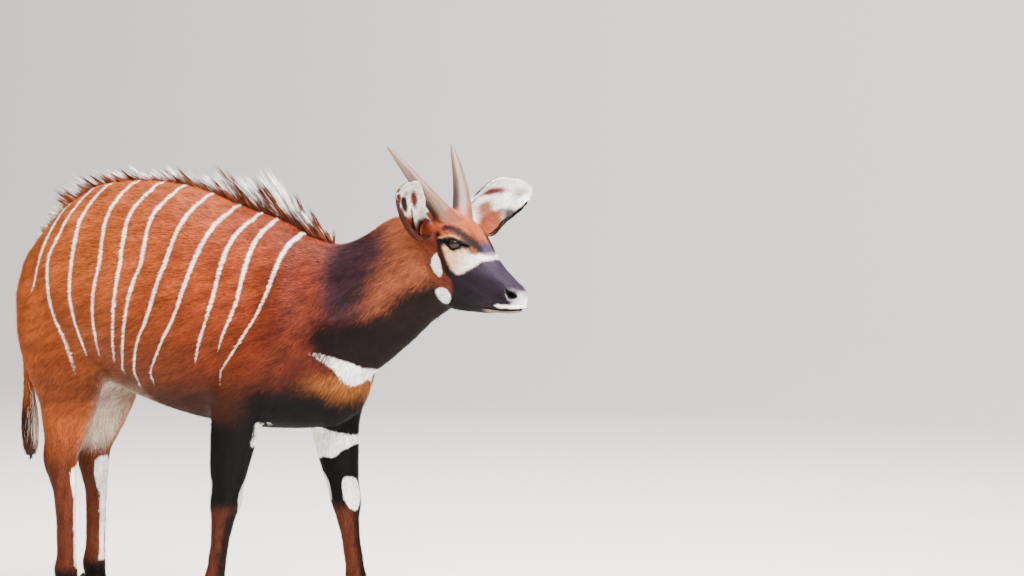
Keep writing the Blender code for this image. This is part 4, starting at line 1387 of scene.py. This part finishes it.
def growCoat():
    centre, area = triangleFields()
    x, y, z = (centre - home).T
    head, _, tail = shares(centre)
    onEar = earPlace[0][skinTriangles].mean(1) > 0.5
    onHead = head > 0.5
    onLeg = (z < coat["legTop"]) & ~onHead & (tail < 0.5)
    trunk = ~onHead & ~onLeg & ~onEar
    rump, front = x < coat["rumpEnd"], x >= coat["flankEnd"]
    groups = []
    for hand, word in sideWord.items():
        mine = y * hand > 0
        headMine = toHead(centre)[:, 1] * hand > 0
        groups += [
            ("coatRump" + word, trunk & mine & rump, coat["trunkEach"]),
            ("coatFlank" + word, trunk & mine & ~rump & ~front, coat["trunkEach"]),
            ("coatShoulder" + word, trunk & mine & front, coat["trunkEach"]),
            ("coatFace" + word, onHead & ~onEar & headMine, coat["headEach"]),
            ("coatEar" + word, onEar & headMine, coat["earEach"]),
        ]
    groups.append(("coatForelegs", onLeg & (x > 0), coat["legEach"]))
    groups.append(("coatHindlegs", onLeg & (x <= 0), coat["legEach"]))
    bare = bareShare(centre)
    skin.data.calc_loop_triangles()
    faceOf = readAll(skin.data.loop_triangles, "polygon_index", 1, np.int32)[:, 0]
    skin.data.uv_layers.new(name="flat")
    for name, mask, count in groups:
        faces = np.zeros(len(skin.data.polygons), bool)
        faces[faceOf[mask]] = True
        growTufts(name, area * mask * (1 - bare), count, unwrapPart(faces))
    skin.data.uv_layers.remove(skin.data.uv_layers["flat"])
    print("coat grown:", len(groups), "pieces")


growCoat()


# the crest: stiff hair standing from rump to withers
mane = dict(
    places=(-0.372, -0.33, -0.28, -0.22, -0.12, 0.05, 0.15, 0.23, 0.32, 0.40, 0.455, 0.492),
    lengths=(0.016, 0.030, 0.044, 0.050, 0.048, 0.050, 0.064, 0.088, 0.100, 0.096, 0.086, 0.046),
    leans=(1.7, 1.6, 1.5, 1.35, 1.15, 0.95, 0.78, 0.66, 0.56, 0.48, 0.40, 0.30),
    count=5600,
    spread=0.0095,
    breadth=0.0019,
    clump=0.0115,
    clumpSeed=5,
)


def crestHeight(x, y):
    model = skinPoints - home
    near = model[(np.abs(model[:, 1]) < 0.03) & (model[:, 2] > 0.9) & (model[:, 0] < 0.60)]
    stations = np.arange(-0.40, 0.56, 0.01)
    top = np.array([near[np.abs(near[:, 0] - at) < 0.012][:, 2].max(initial=0.9) for at in stations])
    return np.interp(x, stations, top) - y * y * 3.0


def growMane():
    count = mane["count"]
    stations = np.linspace(mane["places"][0], mane["places"][-1], 400)
    total = np.cumsum(np.interp(stations, (-0.38, 0.0, 0.2, 0.5), (0.8, 0.8, 1.3, 1.3)))
    x = np.interp((np.arange(count) + dice.random(count)) / count * total[-1], total, stations)
    y = dice.normal(0, 0.45, count).clip(-1.2, 1.2) * mane["spread"]
    root = np.stack([x, y, crestHeight(x, y) - 0.002], 1) + home
    length = curve(mane["places"], mane["lengths"], x) * (0.62 + 0.5 * dice.random(count))
    # neighbours gather into clumps that share a way and a colour
    clump = np.round(x / mane["clump"] + 0.35 * np.sign(y))
    row = (clump.astype(int) * 2 + (y > 0) + 200) % 400
    clumpDice = np.random.default_rng(mane["clumpSeed"])
    pull = clumpDice.normal(0, 1, (400, 3))[row]
    pale = clumpDice.random(400)[row]
    length = length * (1 + 0.22 * pull[:, 2])
    way = unit(np.stack([
        -curve(mane["places"], mane["leans"], x) + 0.13 * pull[:, 0] + dice.normal(0, 0.030, count),
        y / mane["spread"] * 0.16 + 0.10 * pull[:, 1] + dice.normal(0, 0.030, count),
        1 + 0.10 * pull[:, 2],
    ], 1))
    gather = np.stack([clump * mane["clump"] - x, -y * 0.8, np.zeros(count)], 1) * 0.88 / length[:, None]
    bow = np.array([-0.16, 0, -0.05])
    spines = spinesOf(root, way, length, lambda share: bow * share ** 2 + gather * share)
    sideways = unit(np.cross(way, np.cross((0, 1.0, 0), way)))
    turned = dice.normal(0, 0.6, count)[:, None]
    up = unit(sideways * np.cos(turned) + np.cross(way, sideways) * np.sin(turned))
    odds = np.interp(x, (-0.36, -0.2, 0.42, 0.48), (0.62, 0.56, 0.60, 0.25))
    white = np.where(dice.random(count) < 0.22, dice.random(count), pale) < odds

    def tint(share):
        rusty = np.interp(x, (-0.3, 0.1, 0.3), (1, 0.8, 0.5))[:, None]
        start = colour["orange"] * rusty * 0.8 + colour["saddle"] * (1 - rusty)
        end = np.where(white[:, None], colour["white"], start * 0.5 + colour["black"])
        return blend(start[:, None, :], end[:, None, :], smooth(0.28, 0.70, share)[:, None])

    uv = np.stack([(x + 0.40) / 0.92, 0.5 + y * 20], 1)
    return growHair("maneCrest", spines, unit(np.cross(up, way)), up, np.full(count, mane["breadth"]), uv,
                    np.zeros((4, count)), tint=tint)


crest = growMane()
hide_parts("mane")
print("mane grown")

# long hair of the tail, hanging in a loose tuft
tail = dict(count=2600, lengths=(0.035, 0.085), breadth=0.0026, end=0.445)


def growTail():
    centre, area = triangleFields()
    onTail = shares(skinPoints)[2][skinTriangles].mean(1) > 0.5
    weights = area * onTail * (0.5 + 2.5 * smooth(0.72, 0.58, (centre - home)[:, 2]))
    flat = np.zeros((len(skinTriangles), 3, 2))
    place, normal, _, ears = rootsOn(*scatter(weights, tail["count"]), flat)
    count = len(place)
    x, y, z = (place - home).T
    length = blend(*tail["lengths"], smooth(0.72, 0.56, z)) * (0.6 + 0.5 * dice.random(count))
    length = np.minimum(length, np.maximum(z - tail["end"], 0.012))
    lie = lieOf(place, normal, np.zeros(count), np.ones(count))
    across = unit(np.cross(normal, lie))
    spines = spinesOf(place - normal * 0.001, lie, length, lambda share: (
        normal * (0.16 * share - 0.17 * share ** 2) + across * dice.normal(0, 0.05, count)[:, None] * share))
    uv = np.stack([(np.arctan2(y, x + 0.43) + math.pi) / (2 * math.pi), (z - 0.42) / 0.60], 1)
    growHair("tailHair", spines, across, normal, np.full(count, tail["breadth"]), uv, ears)


growTail()

# soft fringes inside the ears: white from the upper edge, black on the lower
fringe = dict(count=1200, length=(0.012, 0.024), breadth=0.0013)


def growFringe(side):
    count = fringe["count"]
    upper = dice.random(count) < 0.62
    u = np.where(upper, 0.14 + 0.80 * dice.random(count), 0.30 + 0.58 * dice.random(count))
    v = np.where(upper, -0.97 + 0.20 * dice.random(count) ** 1.5, 0.97 - 0.22 * dice.random(count) ** 1.5)
    place = earPoint(side, u, v)
    du = earPoint(side, u + 0.01, v) - place
    dv = earPoint(side, u, np.clip(v - np.sign(v) * 0.03, -1, 1)) - place
    normal = unit(np.cross(du, dv))
    normal *= np.sign((normal * earFrame(side)[2]).sum(1, keepdims=True))
    way = unit(unit(du) * 1.2 + unit(dv) * np.where(upper, 0.28, -0.25)[:, None] + normal * 0.30
               + dice.normal(0, 0.12, (count, 3)))
    length = blend(*fringe["length"], dice.random(count)) * np.where(upper, 1.0, 0.75) * smooth(1.06, 0.86, u)
    spines = spinesOf(place + normal * 0.0012, way, length, lambda share: normal * -0.10 * share ** 2)
    lower = colour["black"] if side > 0 else colour["earBack"]
    start = np.where(upper[:, None], colour["white"], lower)
    uv = np.stack([u, v * 0.48 + 0.5], 1)
    return growHair("earFringe" + sideWord[side], spines, unit(np.cross(normal, way)), normal,
                    np.full(count, fringe["breadth"]), uv, np.zeros((4, count)),
                    tint=lambda share: np.repeat(start, len(share), axis=0), keep=0.6)


for hand in (1, -1):
    growFringe(hand)
print("tail and ears haired")

# the eyes: a full globe with a clear bulge, dark brown iris and a level pupil
eye = dict(
    bulge=0.0012,
    irisShare=0.80,             # of the globe's radius
    pupil=(0.40, 0.21),
    irisColour="#241209",
    irisDeep="#0C0604",
    whiteColour="#120A08",
    pupilColour="#050506",
)


def makeEyeMaterial():
    # living eye under a tear film: deep brown with fine spokes, sharp wet reflections
    made, add, finish = newMaterial("wetEyeball")
    place = add("Attribute", out="Vector", attribute_name="gazePlace")
    across, up = (add("SeparateXYZ", {0: place}, k) for k in (0, 1))
    flat = add("CombineXYZ", {0: across, 1: up})
    radius = add("VectorMath", {0: flat}, "Value", operation="LENGTH")
    wide, high = eye["pupil"]
    narrow = add("VectorMath", {0: flat, 1: (1 / wide, 1 / high, 0)}, operation="MULTIPLY")
    hole = add("VectorMath", {0: narrow}, "Value", operation="LENGTH")
    angle = add("Math", {0: up, 1: across}, operation="ARCTAN2")
    polar = add("CombineXYZ", {0: angle, 1: radius})
    spokes = add("TexNoise", {"Vector": polar, "Scale": 9.0, "Detail": 4.0})
    rim = add("MapRange", {0: radius, 1: eye["irisShare"] - 0.10, 2: eye["irisShare"]})
    inside = add("MapRange", {0: hole, 1: 1.08, 2: 0.92})
    full = hexColour(eye["irisDeep"])
    for share, key in ((spokes, "irisColour"), (rim, "whiteColour"), (inside, "pupilColour")):
        full = add("Mix", {0: share, 6: full, 7: hexColour(eye[key])}, 2, data_type="RGBA")
    finish({"Base Color": full, "Roughness": 0.05, "IOR": 1.36, "Specular IOR Level": 0.42})
    return made


def makeEye(side, material):
    deselectAll()
    gaze, slant, rise = (headTurn @ axis for axis in eyeAxes(side))
    bpy.ops.mesh.primitive_uv_sphere_add(segments=64, ring_count=40, radius=globeRadius, location=(0, 0, 0))
    made = bpy.context.object
    made.name = "eyeball" + sideWord[side]
    ball = pointsOf(made)
    # the pole faces along the gaze
    ball = ball[:, [0]] * slant + ball[:, [1]] * np.cross(gaze, slant) + ball[:, [2]] * gaze
    out = ball @ gaze / globeRadius
    bulge = eye["bulge"] * smooth(0.72, 0.96, out)
    setPoints(made, eyeCentres[side] + ball * (1 - 0.0006 / globeRadius) + gaze * bulge[:, None])
    looks = np.stack([ball @ slant, ball @ rise, ball @ gaze], 1) / globeRadius
    setLayer(made.data, "gazePlace", looks, "FLOAT_VECTOR")
    dress(made, material)
    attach(made, "root")
    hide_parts("eye_left" if side > 0 else "eye_right")


eyeMaterial = makeEyeMaterial()
for side in (1, -1):
    makeEye(side, eyeMaterial)
print("eyes set")

# the horns: short, smooth, keeled in front, ringed a little at the base
horn = dict(
    base=(-0.006, 0.033, -0.018),
    tip=(-0.107, 0.138, 0.157),
    radius=0.0270,
    buried=0.16,
    sides=28,
    rings=44,
    growthRings=22,
    baseColour="#3C271C",
    darkColour="#1C1410",
    # pale tip, and the painted light on the horn's front
    paleColour="#8E6A56",
    hairColour="#6E3420",
)


def makeHornMaterial():
    # keratin sheath: grey-brown with a paler tip, fine lengthwise grain and a dull polish; the front, which
    # faces the lamps, is painted paler as painted light
    made, add, finish = newMaterial("hornSheath")
    place = add("Attribute", out="Vector", attribute_name="hornPlace")
    front, height = (add("SeparateXYZ", {0: place}, k) for k in (0, 2))
    stretched = add("Mapping", {"Vector": place, "Scale": (9.0, 9.0, 1.6)})
    grain = add("TexNoise", {"Vector": stretched, "Scale": 1.0, "Detail": 5.0})
    # painted light: paler towards the front of the horn, the side the lamps light
    keel = add("MapRange", {0: front, 1: -0.2, 2: 1.0})
    tip = add("MapRange", {0: height, 1: 1.2, 2: 4.0})
    pale = add("Math", {0: keel, 1: tip}, operation="MAXIMUM")
    pale = add("Math", {0: pale, 1: grain}, operation="MULTIPLY")
    pale = add("MapRange", {0: pale, 1: 0.15, 2: 0.80})
    deep = add("MapRange", {0: grain, 1: 0.35, 2: 0.62})
    above = add("MapRange", {0: height, 1: 0.35, 2: 0.95})
    hairline = add("Math", {0: grain, 1: 0.9, 2: height}, operation="MULTIPLY_ADD")
    collar = add("MapRange", {0: hairline, 1: 1.30, 2: 1.52})
    dark, brown, light, hair = (hexColour(horn[key + "Colour"]) for key in ("dark", "base", "pale", "hair"))
    base = add("Mix", {0: deep, 6: dark, 7: brown}, 2, data_type="RGBA")
    full = add("Mix", {0: pale, 6: base, 7: light}, 2, data_type="RGBA")
    full = add("Mix", {0: above, 6: base, 7: full}, 2, data_type="RGBA")
    full = add("Mix", {0: collar, 6: hair, 7: full}, 2, data_type="RGBA")
    finish({"Base Color": full, "Roughness": 0.40, "IOR": coatFinish["keratin"],
            "Normal": add("Bump", {"Strength": 0.3, "Distance": 0.0006, "Height": grain})})
    return made


def makeHorn(side, material):
    base, tip = (headTop + yawTurn @ (np.array(horn[key]) * (1, side, 1)) for key in ("base", "tip"))
    start = base - (tip - base) * horn["buried"]
    axis = unit(tip - start)
    length = np.linalg.norm(tip - start)
    fore = unit(yawTurn[:, 0] - axis * (yawTurn[:, 0] @ axis))
    outward = np.cross(axis, fore)
    outward *= np.sign(outward @ yawTurn[:, 1]) * side
    turn = Vector(axis).to_track_quat("Z", "Y").to_euler()
    deselectAll()
    bpy.ops.mesh.primitive_circle_add(vertices=horn["sides"], radius=horn["radius"], fill_type="NGON",
                                      location=tuple(start), rotation=turn)
    made = bpy.context.object
    made.name = "hornSheath" + sideWord[side]
    setMode("EDIT")
    bpy.ops.mesh.select_all(action="SELECT")
    step = tuple((tip - start) / horn["rings"])
    for _ in range(horn["rings"]):
        bpy.ops.mesh.extrude_region_move(TRANSFORM_OT_translate={"value": step})
    bpy.ops.mesh.select_all(action="SELECT")
    bpy.ops.mesh.normals_make_consistent(inside=False)
    setMode("OBJECT")
    bpy.ops.object.transform_apply(location=True, rotation=True, scale=True)
    away = pointsOf(made) - start
    share = np.clip(away @ axis / length, 0, 1)
    angle = np.arctan2(away @ outward, away @ fore)
    bow = np.sin(math.pi * share)
    radius = horn["radius"] * (1 - share) ** 0.74 + 0.0022 * np.sqrt(1 - smooth(0.97, 1.0, share) * 0.96)
    growth = np.sin(2 * math.pi * horn["growthRings"] * share + 0.8 * np.sin(9 * share))
    radius *= 1 + 0.016 * growth * smooth(0.62, 0.20, share)
    keel = 1 + 0.10 * np.maximum(0, np.cos(angle)) ** 4
    centre = start + (tip - start) * share[:, None] + (fore * 0.006 + outward * 0.007) * bow[:, None]
    outline = fore * (np.cos(angle) * keel)[:, None] + outward * (np.sin(angle) * 0.9)[:, None]
    setPoints(made, centre + outline * radius[:, None])
    setLayer(made.data, "hornPlace", np.stack([np.cos(angle), np.sin(angle), share * 5], 1), "FLOAT_VECTOR")
    dress(made, material)
    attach(made, "root")
    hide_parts("horn_left" if side > 0 else "horn_right")


hornMaterial = makeHornMaterial()
for side in (1, -1):
    makeHorn(side, hornMaterial)
print("horns grown")

# hooves and dewclaws: rounded off, with growth rings round the wall
hoof = dict(
    voxel=0.0022,
    clawVoxel=0.0011,
    rounds=10,
    sole=0.0016,                # all below this stands flat on the floor
    wallColour="#100D0B",
    wornColour="#332B25",
    ringEach=0.0042,
)


def makeHoofMaterial():
    # hard grey-black horn: dull polish, level growth rings, paler where the edge is worn
    made, add, finish = newMaterial("hoofHorn")
    place = add("TexCoord", out="Object")
    height = add("SeparateXYZ", {0: place}, 2)
    noise = add("TexNoise", {"Vector": place, "Scale": 60.0, "Detail": 4.0})
    bent = add("Math", {0: noise, 1: 0.006, 2: height}, operation="MULTIPLY_ADD")
    turn = add("Math", {0: bent, 1: 2 * math.pi / hoof["ringEach"]}, operation="MULTIPLY")
    wave = add("Math", {0: turn}, operation="SINE")
    low = add("MapRange", {0: height, 1: 0.016, 2: 0.0})
    worn = add("Math", {0: low, 1: noise}, operation="MULTIPLY")
    wall, pale = (hexColour(hoof[key]) for key in ("wallColour", "wornColour"))
    finish({"Base Color": add("Mix", {0: worn, 6: wall, 7: pale}, 2, data_type="RGBA"),
            "Roughness": 0.58, "IOR": coatFinish["keratin"], "Specular IOR Level": 0.25,
            "Normal": add("Bump", {"Strength": 0.5, "Distance": 0.0006, "Height": wave})})
    return made


def makeHoof(name, material):
    first, *others = name.split("_")
    made = newObject(first + "".join(word.title() for word in others), fromBmesh(name, nodeMesh(name)))
    small = first == "dewclaw"
    applyModifier(made, "even", "REMESH", mode="VOXEL", voxel_size=hoof["clawVoxel" if small else "voxel"])
    points = relax(pointsOf(made), edgesOf(made), hoof["rounds"])
    if not small:
        points[:, 2] = np.where(points[:, 2] < hoof["sole"], 0, points[:, 2])
    setPoints(made, points)
    dress(made, material)
    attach(made, "root")
    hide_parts(name)


hoofMaterial = makeHoofMaterial()
for name in list(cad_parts):
    if name.startswith(("hoof", "dewclaw")):
        makeHoof(name, hoofMaterial)
print("hooves shaped")

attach(skin, "root")
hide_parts(*fleshNodes, "ear_left", "ear_right")

# the camera, fitted to the animal's outline, and a plain studio round it
studio = dict(
    cameraFromEyes=(3.36274, -7.31565, 0.37713),
    heading=113.897168,
    pitch=-3.491602,
    focalPixels=3240,
    frameWidth=1024,
    sensor=36,
    floorHalf=9,
    wallHeight=7,
    wallBend=3.0,
    floorColour="#F1EEE8",
    lightsAt=(0.1, 0, 0.9),
    lights=(                    # power, size, place and shade of each
        ("key", 1250, 3.0, (3.7, -2.4, 4.9), "#FFF8EE"),
        ("top", 900, 4.5, (0.2, -0.4, 6.0), "#FFFFFF"),
        ("fill", 280, 1.7, (2.1, -4.9, 3.1), "#EEF4FF"),
        ("rim", 160, 2.4, (-0.6, 3.0, 4.2), "#FFFFFF"),
    ),
    skyColour="#E4E8EC",
    skyStrength=0.50,
)


def makeCamera():
    lens = bpy.data.cameras.new("camera")
    lens.sensor_width = studio["sensor"]
    lens.lens = studio["focalPixels"] / studio["frameWidth"] * studio["sensor"]
    lens.clip_end = 100
    made = newObject("camera", lens)
    heading, pitch = math.radians(studio["heading"]), math.radians(studio["pitch"])
    level = math.cos(pitch)
    forward = Vector((math.cos(heading) * level, math.sin(heading) * level, math.sin(pitch)))
    made.location = Vector(home + np.array(body["eyeMiddle"]) + np.array(studio["cameraFromEyes"]))
    made.rotation_euler = forward.to_track_quat("-Z", "Y").to_euler()
    bpy.context.scene.camera = made


def pickEdges(item, wanted):
    # picks the edges with both ends where wanted, and leaves edit mode on
    clearPicks(item, "EDGE")
    for edge in item.data.edges:
        edge.select = all(wanted(item.data.vertices[i].co) for i in edge.vertices)
    setMode("EDIT")


def makeStage():
    deselectAll()
    back = studio["floorHalf"] - 0.01
    bpy.ops.mesh.primitive_plane_add(size=2 * studio["floorHalf"], location=(0, 0, 0))
    floor = bpy.context.object
    floor.name = "floor"
    pickEdges(floor, lambda end: end.y > back)
    bpy.ops.mesh.extrude_region_move(TRANSFORM_OT_translate={"value": (0, 0, studio["wallHeight"])})
    setMode("OBJECT")
    pickEdges(floor, lambda end: end.y > back and abs(end.z) < 0.01)
    bpy.ops.mesh.bevel(offset=studio["wallBend"], segments=24)
    setMode("OBJECT")
    # matte painted paper: flat, no gloss, a breath of warmth
    made, _, finish = newMaterial("mattePaintedPaper")
    finish({"Base Color": hexColour(studio["floorColour"]), "Roughness": 0.9})
    dress(floor, made)


def addLight(name, power, size, place, shade):
    lamp = bpy.data.lights.new(name, "AREA")
    lamp.energy = power
    lamp.shape = "DISK"
    lamp.size = size
    lamp.color = tuple(hexLinear(shade))
    made = newObject(name, lamp)
    made.location = place
    made.rotation_euler = (Vector(studio["lightsAt"]) - Vector(place)).to_track_quat("-Z", "Y").to_euler()


def makeLights():
    for light in studio["lights"]:
        addLight(*light)
    world = bpy.data.worlds.new("studioAir")
    world.use_nodes = True
    sky = {"Color": hexColour(studio["skyColour"]), "Strength": studio["skyStrength"]}
    feed(world.node_tree, world.node_tree.nodes["Background"], sky)
    bpy.context.scene.world = world


makeCamera()
makeStage()
makeLights()
print("studio ready")
